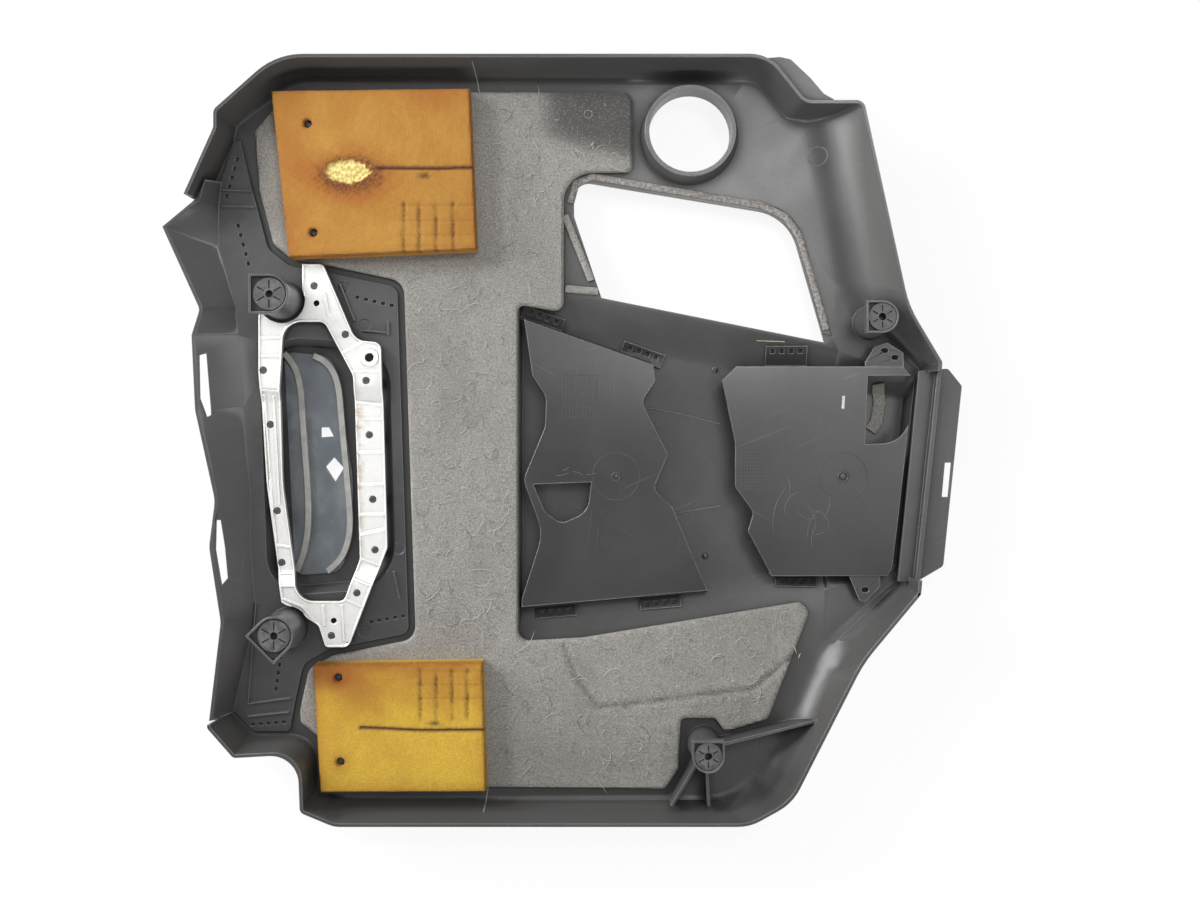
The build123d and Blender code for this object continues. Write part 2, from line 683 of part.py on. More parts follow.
def make_front_bezel():
    """Nose moulding: front skirt, badge well, front towers, stakes, slots and weld slots."""
    rim = bezel_plan()
    floor = BEZEL_LAP + BEZEL_FRONT_FLOOR
    lap = len(BEZEL_LAP)
    body = drafted([(FIELD, floor), (BEZEL_RIM, rim)])
    body += drafted([(0, inset(WELL_FLOOR, -BEZEL_WALL)), (FIELD, inset(WELL_EDGE, -BEZEL_WALL))])
    open_floor = inset(floor, -BEZEL_OPEN)[:lap] + inset(floor, BEZEL_WALL)[lap:]
    open_rim = inset(rim, -BEZEL_OPEN)[:lap] + inset(rim, BEZEL_WALL)[lap:]
    bezel = body - drafted([(BEZEL_FLOOR, open_floor), (BEZEL_RIM, open_rim)])
    bezel -= drafted([(BEZEL_WALL, WELL_FLOOR), (BEZEL_FLOOR, WELL_EDGE)])

    for place, angle in ((FRONT_LEFT, 180), (FRONT_RIGHT, 225)):
        bezel += tower(place, angle, FIELD)
    for x, y in STAKES:
        level = frame_level(y)
        boss = slab(Pos(x, y) * Rectangle(STAKE_BOSS, STAKE_BOSS), BEZEL_WALL, level)
        bezel += boss & (body + slab(outline(rim), BEZEL_FLOOR, level))
        bezel += post((x, y), level, level + FRAME_THICKNESS + STAKE_HEAD, STAKE_RADIUS, PIN_SIDES)

    for ends in BEZEL_RIBS:
        bezel += slab(bar(*ends, BEZEL_RIB_WIDTH), BEZEL_FLOOR, BEZEL_FLOOR + BEZEL_RIB_HEIGHT)

    for x, y in EJECTOR_MARKS:
        bezel -= post((x, y), BEZEL_FLOOR - MARK_DEPTH, BEZEL_FLOOR, MARK_RADIUS, ROUND_SIDES)
    for slot in NOSE_SLOTS:
        bezel -= slab(polygon(slot), FIELD, BEZEL_RIM)
    for hole in BADGE_HOLES:
        bezel -= slab(polygon(hole), 0, BEZEL_WALL)
    for start, end in WELD_ROWS:
        for i in range(WELD_COUNT):
            share = i / (WELD_COUNT - 1)
            x = start[0] + (end[0] - start[0]) * share
            y = start[1] + (end[1] - start[1]) * share
            turn = degrees(atan2(end[1] - start[1], end[0] - start[0]))
            dent = Pos(x, y) * Rot(0, 0, turn) * Rectangle(*WELD_SLOT)
            bezel -= slab(dent, BEZEL_FLOOR - WELD_DEPTH, BEZEL_FLOOR)
    return bezel


def frame_level(y):
    """Height of the underside of the stiffener: its legs lie lower than its lugs."""
    return FRAME_LUG_LEVEL if y > FRAME_STEPS[1] or y < FRAME_STEPS[2] else FRAME_LEG_LEVEL


def make_stiffener_frame():
    """Cast ring: plan outline crossed with a stepped side profile, with raised rims, ribs and a boss."""
    plan = outline(FRAME_EDGE) - outline(FRAME_OPENING)
    for tower_place in (FRONT_LEFT, FRONT_RIGHT):
        plan -= Pos(*tower_place) * RegularPolygon(TOWER_FOOT_RADIUS + FRAME_CLEARANCE, ROUND_SIDES)
    for x, y in STAKES:
        plan -= Pos(x, y) * RegularPolygon(STAKE_RADIUS + STAKE_FIT, PIN_SIDES)
    for x, y, radius in FRAME_HOLES:
        plan -= Pos(x, y) * RegularPolygon(radius, PIN_SIDES)
    middle = outline(inset(FRAME_EDGE, FRAME_RIM)) - outline(inset(FRAME_OPENING, -FRAME_RIM))
    for ends in FRAME_RIBS:
        middle -= bar(*ends, FRAME_RIB_WIDTH)
    boss_x, boss_y, _ = max(FRAME_HOLES, key=lambda hole: hole[2])
    middle -= Pos(boss_x, boss_y) * RegularPolygon(FRAME_BOSS, ROUND_SIDES)

    ends = [y for _, y, _ in FRAME_EDGE]
    y_marks = [max(ends)] + list(FRAME_STEPS) + [min(ends)]
    levels = [FRAME_LUG_LEVEL] * 2 + [FRAME_LEG_LEVEL] * 2 + [FRAME_LUG_LEVEL] * 2
    under = list(zip(y_marks, levels))
    over = [(y, level + FRAME_THICKNESS) for y, level in reversed(under)]
    plate = extrude(Pos(NOSE, 0, 0) * (Plane.YZ * polygon(under + over)), LENGTH / 2)
    top = FRAME_LUG_LEVEL + FRAME_THICKNESS + FRAME_RELIEF
    relief = Pos(0, 0, FRAME_RELIEF) * plate & slab(plan - middle, FRAME_LEG_LEVEL, top)
    return (plate & slab(plan, FRAME_LEG_LEVEL, top)) + relief


def make_emblem_plate():
    """Back of the badge in the well, with two broken-out holes."""
    plate = outline(BADGE)
    for hole in BADGE_HOLES:
        plate -= polygon(hole)
    return slab(plate, BEZEL_WALL, BEZEL_WALL + BADGE_THICKNESS)


def make_trim_strip(points):
    """Narrow curved strip standing on the badge."""
    strip = trace(Spline(*points), STRIP_WIDTH)
    seat = BEZEL_WALL + BADGE_THICKNESS
    return slab(strip, seat, seat + STRIP_HEIGHT)


def make_felt_mat():
    """Acoustic felt, cut round the filler, the bezel, the rear tower and the pegs."""
    mat = outline(FELT) - outline(inset(bezel_plan(), -FELT_GAP))
    mat -= Pos(FILLER_X, FILLER_Y) * Circle(FILLER_RADIUS + COLLAR_WALL + COLLAR_FLARE + FELT_FILLER_GAP)
    mat -= Pos(*REAR_RIGHT) * Circle(TOWER_FOOT_RADIUS + FRAME_CLEARANCE)
    for peg in PEGS_LEFT + PEGS_RIGHT:
        mat -= Pos(*peg) * RegularPolygon(PEG_HOLE, PIN_SIDES)
    return slab(mat, FIELD, FELT_TOP)


def make_foam_pad(corners, pegs):
    """Foam pad on the felt, pressed over two pegs."""
    pad = outline(corners)
    for peg in pegs:
        pad -= Pos(*peg) * RegularPolygon(PEG_HOLE, PIN_SIDES)
    return slab(pad, FELT_TOP, FELT_TOP + FOAM_THICKNESS)


def hat_section(x, high_side, low_side, foot, top, draft):
    """Thin hat-shaped section across the trough: two drafted sides and a crowned top."""
    middle = (high_side + low_side) / 2
    crown = top + SHEET_CROWN
    high_foot, low_foot = (high_side + draft, foot), (low_side - draft, foot)
    inner_top = top - SHEET
    edges = [
        Line(high_foot, (high_side, top)),
        ThreePointArc((high_side, top), (middle, crown), (low_side, top)),
        Line((low_side, top), low_foot),
        Line(low_foot, (low_foot[0] + SHEET, foot)),
        Line((low_foot[0] + SHEET, foot), (low_side + SHEET, inner_top)),
        ThreePointArc((low_side + SHEET, inner_top), (middle, crown - SHEET), (high_side - SHEET, inner_top)),
        Line((high_side - SHEET, inner_top), (high_foot[0] - SHEET, foot)),
        Line((high_foot[0] - SHEET, foot), high_foot),
    ]
    return Pos(x, 0, 0) * (Plane.YZ * make_face(edges))


def make_front_air_guide():
    """Crowned plate over the front of the trough, with wavy ends, a D-shaped hole and welding flanges."""
    sections = [hat_section(*place, 0, GUIDE_TOP, GUIDE_DRAFT) for place in (GUIDE_BACK, GUIDE_FRONT)]
    guide = loft(sections, ruled=True) & slab(outline(GUIDE), 0, GUIDE_TOP + SHEET_CROWN) & air_space()
    guide -= slab(outline(GUIDE_HOLE), GUIDE_TOP - SHEET, GUIDE_TOP + SHEET_CROWN)
    for x, side in GUIDE_CLIPS:
        ends = []
        for end in (x - side * CLIP_LENGTH / 2, x + side * CLIP_LENGTH / 2):
            share = (end - GUIDE_BACK[0]) / (GUIDE_FRONT[0] - GUIDE_BACK[0])
            row = 1 if side > 0 else 2
            ends.append((end, GUIDE_BACK[row] + (GUIDE_FRONT[row] - GUIDE_BACK[row]) * share))
        guide += lying_flange(clip_flange(*ends, GUIDE_DRAFT + CLIP_WIDTH))
    return guide


def make_rear_air_duct():
    """Crowned plate over the rear of the trough, with a scoop, two tabs and welding flanges."""
    ends = [x for x, _, _ in DUCT]
    sections = [hat_section(x, *DUCT_SIDES, 0, DUCT_TOP, DUCT_DRAFT) for x in (min(ends), max(ends))]
    duct = loft(sections, ruled=True) & slab(outline(DUCT), 0, DUCT_TOP + SHEET_CROWN) & air_space()
    duct -= slab(outline(SCOOP), DUCT_TOP - SHEET, DUCT_TOP + SHEET_CROWN)
    for (x, side), wall, reach in zip(DUCT_CLIPS, DUCT_SIDES, DUCT_CLIP_REACH):
        half = side * CLIP_LENGTH / 2
        duct += lying_flange(clip_flange((x - half, wall), (x + half, wall), reach))
    for tab in DUCT_TABS:
        plate = polygon(tab)
        for hole in TAB_HOLES:
            plate -= Pos(*hole) * SlotOverall(TAB_HOLE[1], TAB_HOLE[0])
        duct += slab(plate, TAB_LEVEL, TAB_LEVEL + SHEET)
    return duct


PIECES = {
    "main_shell": make_main_shell(),
    "front_bezel": make_front_bezel(),
    "stiffener_frame": make_stiffener_frame(),
    "emblem_plate": make_emblem_plate(),
    "trim_strip_front": make_trim_strip(FRONT_STRIP),
    "trim_strip_rear": make_trim_strip(REAR_STRIP),
    "felt_mat": make_felt_mat(),
    "foam_pad_left": make_foam_pad(FOAM_LEFT, PEGS_LEFT),
    "foam_pad_right": make_foam_pad(FOAM_RIGHT, PEGS_RIGHT),
    "front_air_guide": make_front_air_guide(),
    "rear_air_duct": make_rear_air_duct(),
    "grommet_front_left": grommet(FRONT_LEFT),
    "grommet_front_right": grommet(FRONT_RIGHT),
    "grommet_rear_left": grommet(REAR_LEFT, REAR_TOWER_SIZE),
    "grommet_rear_right": grommet(REAR_RIGHT, REAR_TOWER_SIZE),
}
os.makedirs("parts", exist_ok=True)
for node, piece in PIECES.items():
    export_step(piece, f"parts/{node}.step")
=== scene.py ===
"""Engine cover lying face down on a white table, seen from its engine side.

The scene is in metres. Places and sizes of small marks are written in millimetres of the CAD frame: +X to the rear
of the car, +Y to its left, +Z to the engine side.
"""

import math

import bpy
import numpy as np
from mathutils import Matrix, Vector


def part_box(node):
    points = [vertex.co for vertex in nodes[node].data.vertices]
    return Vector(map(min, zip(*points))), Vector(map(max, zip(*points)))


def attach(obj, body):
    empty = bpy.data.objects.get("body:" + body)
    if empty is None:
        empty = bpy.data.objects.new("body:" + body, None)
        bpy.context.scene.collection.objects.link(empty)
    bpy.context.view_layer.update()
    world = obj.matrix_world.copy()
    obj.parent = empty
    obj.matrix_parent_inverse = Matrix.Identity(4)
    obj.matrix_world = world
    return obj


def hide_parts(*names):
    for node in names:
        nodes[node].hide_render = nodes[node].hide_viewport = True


MM = 0.001
AT_ONCE = 3_000_000  # pairs of a point and a triangle or segment worked out in one go
FOOT = 0.4 * MM  # depth of a raised mark's foot under the surface
OVERHANG = 2.5 * MM  # most that a raised line hangs down over an edge
rng = np.random.default_rng(7)

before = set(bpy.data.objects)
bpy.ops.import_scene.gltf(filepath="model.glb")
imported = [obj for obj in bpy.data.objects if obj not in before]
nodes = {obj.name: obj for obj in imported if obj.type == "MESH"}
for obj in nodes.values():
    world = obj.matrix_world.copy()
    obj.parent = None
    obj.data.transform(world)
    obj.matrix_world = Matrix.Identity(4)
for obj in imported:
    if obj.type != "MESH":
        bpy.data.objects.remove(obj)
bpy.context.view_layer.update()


class Graph:
    """Adds nodes to one node tree. An input is a number, a colour or another node's output."""

    def __init__(self, tree):
        self.tree = tree

    def feed(self, socket, value):
        """Links an output to the socket, or sets the socket to a number or colour."""
        if isinstance(value, bpy.types.NodeSocket):
            self.tree.links.new(value, socket)
        else:
            socket.default_value = value

    def fill(self, node, inputs):
        """Feeds several inputs of a node by name or number."""
        for name, value in inputs.items():
            self.feed(node.inputs[name], value)

    def add(self, kind, settings=None, inputs=None):
        node = self.tree.nodes.new("ShaderNode" + kind)
        for name, value in (settings or {}).items():
            setattr(node, name, value)
        self.fill(node, inputs or {})
        return node

    def math(self, operation, *values):
        node = self.add("Math", {"operation": operation})
        for socket, value in zip(node.inputs, values):
            self.feed(socket, value)
        return node.outputs[0]

    def mix(self, share, first, second):
        """Colour between the first and the second; the Mix node keeps its colour sockets at 6, 7 and 2."""
        return self.add("Mix", {"data_type": "RGBA"}, {0: share, 6: first, 7: second}).outputs[2]

    def cover(self, base, mask, share, colour):
        """The base with a colour over it where the mask is one, by no more than share."""
        return self.mix(self.math("MULTIPLY", mask, share), base, colour)

    def ramp(self, value, low, high, start=0.0, end=1.0):
        """Smooth change from start to end while the value goes from low to high."""
        return self.add("MapRange", {"interpolation_type": "SMOOTHSTEP"}, {
            "Value": value, "From Min": low, "From Max": high, "To Min": start, "To Max": end}).outputs[0]

    def band(self, value, start, full, fade, end):
        """One between full and fade, falling to zero at start and at end."""
        return self.math("MULTIPLY", self.ramp(value, start, full), self.ramp(value, end, fade))

    def place(self):
        return self.add("TexCoord").outputs["Object"]

    def facing(self):
        return self.add("TexCoord").outputs["Normal"]

    def split(self, vector):
        return self.add("SeparateXYZ", None, {"Vector": vector}).outputs

    def stretch(self, vector, scale, turn=0.0):
        """Places turned about Z and then scaled, so that noise on them is drawn out along the turned axes."""
        turned = self.add("Mapping", None, {"Vector": vector, "Rotation": (0, 0, turn)})
        return self.add("Mapping", None, {"Vector": turned.outputs[0], "Scale": scale}).outputs[0]

    def noise(self, vector, scale, detail=3.0, rough=0.5, twist=0.0):
        return self.add("TexNoise", None, {
            "Vector": vector, "Scale": scale, "Detail": detail, "Roughness": rough, "Distortion": twist}).outputs[0]

    def tag(self, name):
        """A value that the mesh keeps at each of its points."""
        return self.add("Attribute", {"attribute_name": name}).outputs["Fac"]

    def bump(self, height, strength, distance):
        return self.add("Bump", None, {"Height": height, "Strength": strength, "Distance": distance}).outputs[0]

    def group(self, effect, inputs):
        return self.add("Group", {"node_tree": effect}, inputs).outputs


def effect_group(name, inputs, outputs, build):
    """A shader node group with number inputs and outputs; build gets the graph and the inputs by name."""
    tree = bpy.data.node_groups.new(name, "ShaderNodeTree")
    for label, value in inputs.items():
        socket = tree.interface.new_socket(label, in_out="INPUT", socket_type="NodeSocketFloat")
        socket.default_value = value
    for label in outputs:
        tree.interface.new_socket(label, in_out="OUTPUT", socket_type="NodeSocketFloat")
    graph = Graph(tree)
    entry = tree.nodes.new("NodeGroupInput")
    leave = tree.nodes.new("NodeGroupOutput")
    graph.fill(leave, dict(zip(outputs, build(graph, entry.outputs))))
    return tree


def build_dust(graph, given):
    """Dust: soft cloud noise for the film, fine noise for the grit, both kept where the surface looks up."""
    place = graph.place()
    cloud = graph.noise(place, given["Cloud scale"], detail=5.0, rough=0.62, twist=0.4)
    speck = graph.noise(place, given["Speck scale"], detail=2.0, rough=0.7)
    up = graph.ramp(graph.split(graph.facing())["Z"], 0.35, 0.98)
    film = graph.math("MULTIPLY", graph.ramp(cloud, 0.38, 0.72), up)
    grit = graph.math("MULTIPLY", graph.ramp(speck, 0.66, 0.78), up)
    return [film, grit]


def build_grain(graph, given):
    """Moulding grain: fine noise for the height, broad noise for how polished the tool was."""
    place = graph.place()
    fine = graph.noise(place, given["Grain scale"], detail=2.0, rough=0.6)
    broad = graph.noise(place, given["Polish scale"], detail=3.0, rough=0.55, twist=0.3)
    return [fine, graph.ramp(broad, 0.3, 0.7)]


def build_scratches(graph, given):
    """Handling scratches: noise drawn out long in three directions and cut to thin lines, in patches."""
    place = graph.place()
    total = None
    for turn, width in ((0.5, 1.0), (1.7, 1.25), (2.75, 0.8)):
        drawn = graph.stretch(place, (9.0, 420.0 * width, 40.0), turn)
        line = graph.ramp(graph.noise(drawn, given["Scale"], detail=2.0, rough=0.5, twist=0.15), 0.69, 0.74)
        total = line if total is None else graph.math("MAXIMUM", total, line)
    patch = graph.ramp(graph.noise(place, scale=14.0, detail=2.0), 0.45, 0.62)
    return [graph.math("MULTIPLY", total, patch)]


def build_edge_highlight(graph, given):
    """Painted highlight on edges: where the rounded normal turns away from the true one, unevenly."""
    rounded = graph.add("Bevel", {"samples": 4}, {"Radius": given["Radius"]}).outputs[0]
    true = graph.add("NewGeometry").outputs["Normal"]
    agree = graph.add("VectorMath", {"operation": "DOT_PRODUCT"}, {0: rounded, 1: true}).outputs["Value"]
    uneven = graph.noise(graph.place(), scale=160.0, detail=3.0, rough=0.6)
    return [graph.math("MULTIPLY", graph.ramp(agree, 0.985, 0.90), graph.ramp(uneven, 0.25, 0.6, 0.55, 1.0))]


def build_painted_shade(graph, given):
    """Painted shade: how much nearby surfaces close in on a point, used to darken corners and recesses."""
    near = graph.add("AmbientOcclusion", {"samples": 6}, {"Distance": given["Reach"]})
    return [graph.ramp(near.outputs["AO"], 0.95, 0.45)]


DUST = effect_group("surface_dust", {"Cloud scale": 7.0, "Speck scale": 700.0}, ["Film", "Grit"], build_dust)
GRAIN = effect_group("moulded_grain", {"Grain scale": 900.0, "Polish scale": 9.0}, ["Height", "Polish"], build_grain)
SCRATCHES = effect_group("handling_scratches", {"Scale": 1.0}, ["Mask"], build_scratches)
# painted highlight: a paler colour laid along edges where the rounded normal turns away from the true one
EDGE_HIGHLIGHT = effect_group("painted_edge_highlight", {"Radius": 1.2 * MM}, ["Mask"], build_edge_highlight)
# painted shade: darkens corners, recesses and holes where nearby surfaces close in
PAINTED_SHADE = effect_group("corner_painted_shade", {"Reach": 6 * MM}, ["Mask"], build_painted_shade)


def new_finish(name):
    """An empty material with its graph and its Principled shader."""
    material = bpy.data.materials.new(name)
    material.use_nodes = True
    return material, Graph(material.node_tree), material.node_tree.nodes["Principled BSDF"]


def shaded(colour, factor):
    """A colour made lighter or darker by a factor."""
    return tuple(factor * part for part in colour[:3]) + (1,)


def moulded_plastic(name, colour, dust_colour, dust, smooth, dull, grain_height, scratch, edge):
    """Black moulding: grain, patchy polish, dust film and grit on top, a painted highlight on the edges, and
    handling scratches.

    Walls are painted paler than what lies level (painted light), and pockets are painted darker (painted shade) and
    made duller.
    """
    scratch_grey, edge_highlight_grey, dark_tone = (0.20, 0.195, 0.19, 1), (0.42, 0.42, 0.41, 1), (0.006, 0.006, 0.006, 1)
    painted_wall_light_gain, grit, shade_share, dust_dulls, shade_dulls = 2.5, 0.35, 0.8, 0.12, 0.35
    material, graph, shader = new_finish(name)
    dusty = graph.group(DUST, {"Cloud scale": 7.0, "Speck scale": 620.0})
    grain = graph.group(GRAIN, {"Grain scale": 1100.0, "Polish scale": 8.0})
    lines = graph.group(SCRATCHES, {"Scale": 1.0})["Mask"]
    edge_highlight_mask = graph.group(EDGE_HIGHLIGHT, {"Radius": 1.2 * MM})["Mask"]
    pocket = graph.group(PAINTED_SHADE, {"Reach": 14 * MM})["Mask"]
    # painted light: steep surfaces are painted up to two and a half times paler than level ones
    painted_light_on_walls = graph.ramp(graph.split(graph.facing())["Z"], 0.95, 0.55)
    base = graph.mix(painted_light_on_walls, colour, shaded(colour, painted_wall_light_gain))
    base = graph.cover(base, dusty["Film"], dust, dust_colour)
    base = graph.cover(base, dusty["Grit"], grit, dust_colour)
    base = graph.cover(base, lines, scratch, scratch_grey)
    # painted highlight: edges painted pale grey
    base = graph.cover(base, edge_highlight_mask, edge, edge_highlight_grey)
    # painted shade: pockets where nearby surfaces close in are painted near black, and made duller below
    base = graph.cover(base, pocket, shade_share, dark_tone)
    rough = graph.ramp(grain["Polish"], 0.0, 1.0, smooth, dull)
    rough = graph.math("MULTIPLY_ADD", dusty["Film"], dust_dulls * dust, rough)
    rough = graph.math("MULTIPLY_ADD", pocket, shade_dulls, rough)
    graph.fill(shader, {"Base Color": base, "Roughness": rough,
                        "Normal": graph.bump(grain["Height"], strength=0.5, distance=grain_height)})
    return material


def cast_metal(name):
    """Bare die casting: mottled pale metal, fine cast grain, brown stains along one leg, painted shade in the
    corners and a painted highlight on the edges.
    """
    pale, grey, bright = (0.70, 0.70, 0.69, 1), (0.56, 0.55, 0.53, 1), (0.88, 0.88, 0.87, 1)
    stain, freckled, shade_grey = (0.37, 0.26, 0.15, 1), (0.40, 0.34, 0.26, 1), (0.24, 0.225, 0.20, 1)
    leg_x, leg_y = (-0.215, -0.2, -0.182, -0.171), (-0.105, -0.085, 0.03, 0.05)
    material, graph, shader = new_finish(name)
    place = graph.place()
    spread = graph.split(place)
    mottle = graph.noise(place, scale=60.0, detail=5.0, rough=0.65)
    leg = graph.math("MULTIPLY", graph.band(spread["X"], *leg_x), graph.band(spread["Y"], *leg_y))
    blot = graph.ramp(graph.noise(place, scale=95.0, detail=4.0, rough=0.7, twist=0.6), 0.43, 0.60)
    freckle = graph.ramp(graph.noise(place, scale=260.0, detail=3.0, rough=0.6), 0.64, 0.74)
    base = graph.mix(graph.ramp(mottle, 0.3, 0.75), pale, grey)
    base = graph.cover(base, leg, blot, stain)
    base = graph.cover(base, freckle, 0.5, freckled)
    # painted shade: corners and recesses of the casting painted a dark warm grey
    base = graph.cover(base, graph.group(PAINTED_SHADE, {"Reach": 10 * MM})["Mask"], 0.9, shade_grey)
    # painted highlight: edges of the casting painted near white
    base = graph.cover(base, graph.group(EDGE_HIGHLIGHT, {"Radius": 1.2 * MM})["Mask"], 0.8, bright)
    grit = graph.noise(place, scale=850.0, detail=2.0, rough=0.6)
    graph.fill(shader, {"Base Color": base, "Metallic": 0.85, "Roughness": graph.ramp(mottle, 0.3, 0.75, 0.36, 0.54),
                        "Normal": graph.bump(grit, strength=0.35, distance=0.4 * MM)})
    return material


def glossy_badge(name):
    """Dark bluish gloss of the badge's back, smeared and dusty."""
    blue_black, dust_blue, dust_grey = (0.085, 0.097, 0.108, 1), (0.27, 0.285, 0.30, 1), (0.3, 0.3, 0.29, 1)
    material, graph, shader = new_finish(name)
    dusty = graph.group(DUST, {"Cloud scale": 26.0, "Speck scale": 800.0})
    drawn = graph.stretch(graph.place(), (30.0, 9.0, 20.0), 0.4)
    smear = graph.noise(drawn, scale=3.0, detail=4.0, rough=0.6)
    base = graph.cover(blue_black, dusty["Film"], 0.35, dust_blue)
    base = graph.cover(base, dusty["Grit"], 0.3, dust_grey)
    graph.fill(shader, {"Base Color": base, "Roughness": graph.ramp(smear, 0.3, 0.75, 0.29, 0.42)})
    return material


def satin_strip(name):
    """Satin grey strip, lightly mottled."""
    pale, deep = (0.32, 0.313, 0.290, 1), (0.23, 0.228, 0.217, 1)
    material, graph, shader = new_finish(name)
    mottle = graph.noise(graph.place(), scale=110.0, detail=4.0, rough=0.6)
    graph.fill(shader, {"Base Color": graph.mix(graph.ramp(mottle, 0.3, 0.7), pale, deep),
                        "Roughness": graph.ramp(mottle, 0.3, 0.7, 0.38, 0.55)})
    return material


def socket_rubber(name):
    """Matte black rubber with a grey bloom."""
    black, bloomed = (0.045, 0.046, 0.046, 1), (0.115, 0.118, 0.112, 1)
    material, graph, shader = new_finish(name)
    place = graph.place()
    bloom = graph.ramp(graph.noise(place, scale=150.0, detail=4.0, rough=0.65), 0.4, 0.72)
    pores = graph.noise(place, scale=1500.0, detail=2.0, rough=0.6)
    graph.fill(shader, {"Base Color": graph.mix(bloom, black, bloomed),
                        "Roughness": graph.ramp(bloom, 0.0, 1.0, 0.48, 0.72),
                        "Normal": graph.bump(pores, strength=0.4, distance=0.4 * MM)})
    return material


def pressed_felt(name, tone=1.0):
    """Felt: pale and dark fibres drawn out in four directions over a cloudy grey, darker in a corner beside the
    filler and with painted shade along the pressed crease.
    """
    dark, light = shaded((0.150, 0.144, 0.134), tone), shaded((0.375, 0.360, 0.333), tone)
    clouded, dark_tone = (0.135, 0.13, 0.12, 1), (0.072, 0.0705, 0.068, 1)
    material, graph, shader = new_finish(name)
    place = graph.place()
    fibres = None
    for step in range(4):
        drawn = graph.stretch(place, (140.0, 1100.0, 250.0), 0.35 + step * math.pi / 4)
        line = graph.noise(drawn, scale=1.0, detail=2.0, rough=0.55, twist=1.4)
        fibres = line if fibres is None else graph.math("ADD", fibres, line)
    fibres = graph.math("MULTIPLY", fibres, 0.25)
    fleck = graph.noise(place, scale=640.0, detail=3.0, rough=0.7)
    weave = graph.math("MULTIPLY_ADD", fleck, 0.5, graph.math("MULTIPLY", fibres, 0.5))
    cloud = graph.ramp(graph.noise(place, scale=9.0, detail=4.0, rough=0.6, twist=0.5), 0.45, 0.75)
    base = graph.mix(graph.ramp(weave, 0.35, 0.65), dark, light)
    base = graph.cover(base, cloud, 0.4, clouded)
    # darker in the corner beside the filler, and painted shade along the crease
    base = graph.cover(base, graph.tag("darkened"), graph.ramp(weave, 0.62, 0.48, 0.60, 1.0), dark_tone)
    graph.fill(shader, {"Base Color": base, "Roughness": 0.95, "Specular IOR Level": 0.2, "Sheen Weight": 0.1,
                        "Sheen Roughness": 0.5, "Normal": graph.bump(weave, strength=0.9, distance=1.2 * MM)})
    return material


def aged_foam(name, amber, deep):
    """Aged foam: fine cells and cloudy patches, brown where toasted, pressed or scorched, pale where torn."""
    cell_brown, toast_brown = (0.33, 0.13, 0.024, 1), (0.30, 0.105, 0.022, 1)
    scorch_brown, press_brown = (0.075, 0.028, 0.014, 1), (0.075, 0.030, 0.026, 1)
    torn_deep, torn_pale = (0.44, 0.32, 0.075, 1), (0.74, 0.64, 0.28, 1)
    material, graph, shader = new_finish(name)
    place = graph.place()
    cells = graph.noise(place, scale=620.0, detail=2.0, rough=0.7)
    speckle = graph.noise(place, scale=330.0, detail=3.0, rough=0.7)
    cloud = graph.noise(place, scale=13.0, detail=5.0, rough=0.65, twist=0.5)
    pores = graph.ramp(graph.noise(place, scale=420.0, detail=3.0, rough=0.7), 0.35, 0.62)
    base = graph.mix(graph.ramp(cloud, 0.36, 0.66), amber, deep)
    base = graph.mix(graph.ramp(speckle, 0.5, 0.75, 0.0, 0.4), base, deep)
    base = graph.mix(graph.ramp(cells, 0.42, 0.62, 0.0, 0.30), base, cell_brown)
    base = graph.cover(base, graph.tag("toasted"), graph.ramp(cloud, 0.25, 0.6, 0.6, 1.0), toast_brown)
    base = graph.cover(base, graph.tag("scorched"), graph.math("MULTIPLY_ADD", pores, 0.6, 0.4), scorch_brown)
    base = graph.mix(graph.tag("pressed"), base, press_brown)
    base = graph.mix(graph.tag("torn"), base, graph.mix(graph.ramp(speckle, 0.38, 0.62), torn_deep, torn_pale))
    graph.fill(shader, {"Base Color": base, "Roughness": 0.85, "Specular IOR Level": 0.2,
                        "Normal": graph.bump(cells, strength=0.5, distance=0.7 * MM)})
    return material


def window_seal(name):
    """Brownish grey residue of the seal round the window: crumbly, with pale grit."""
    brown_grey, grit = (0.145, 0.136, 0.129, 1), (0.33, 0.312, 0.297, 1)
    material, graph, shader = new_finish(name)
    crumbs = graph.noise(graph.place(), scale=420.0, detail=4.0, rough=0.7)
    graph.fill(shader, {"Base Color": graph.mix(graph.ramp(crumbs, 0.35, 0.65), brown_grey, grit), "Roughness": 0.85,
                        "Normal": graph.bump(crumbs, strength=0.8, distance=1.0 * MM)})
    return material


def loose_fibre(name, colour):
    """Thin fibre, straw or scratch, slightly uneven in colour."""
    material, graph, shader = new_finish(name)
    tone = graph.noise(graph.place(), scale=300.0, detail=2.0)
    graph.fill(shader, {"Base Color": graph.mix(tone, colour, shaded(colour, 0.55)), "Roughness": 0.7})
    return material


# edge is how much painted highlight each finish gets along its edges
SHELL = moulded_plastic("shell_moulding", (0.028, 0.0275, 0.027, 1), (0.14, 0.135, 0.13, 1), dust=0.20,
                        smooth=0.285, dull=0.36, grain_height=0.2 * MM, scratch=0.14, edge=0.40)
BEZEL = moulded_plastic("bezel_moulding", (0.028, 0.028, 0.0295, 1), (0.15, 0.15, 0.15, 1), dust=0.22,
                        smooth=0.285, dull=0.38, grain_height=0.2 * MM, scratch=0.14, edge=0.35)
DUCT = moulded_plastic("duct_moulding", (0.010, 0.010, 0.0104, 1), (0.11, 0.11, 0.108, 1), dust=0.14,
                       smooth=0.28, dull=0.34, grain_height=0.1 * MM, scratch=0.12, edge=0.80)
MARKS = moulded_plastic("mark_moulding", (0.024, 0.024, 0.0245, 1), (0.11, 0.11, 0.108, 1), dust=0.14,
                        smooth=0.30, dull=0.42, grain_height=0.1 * MM, scratch=0.0, edge=0.0)
STRIP = satin_strip("strip_satin")
RUBBER = socket_rubber("socket_rubber")

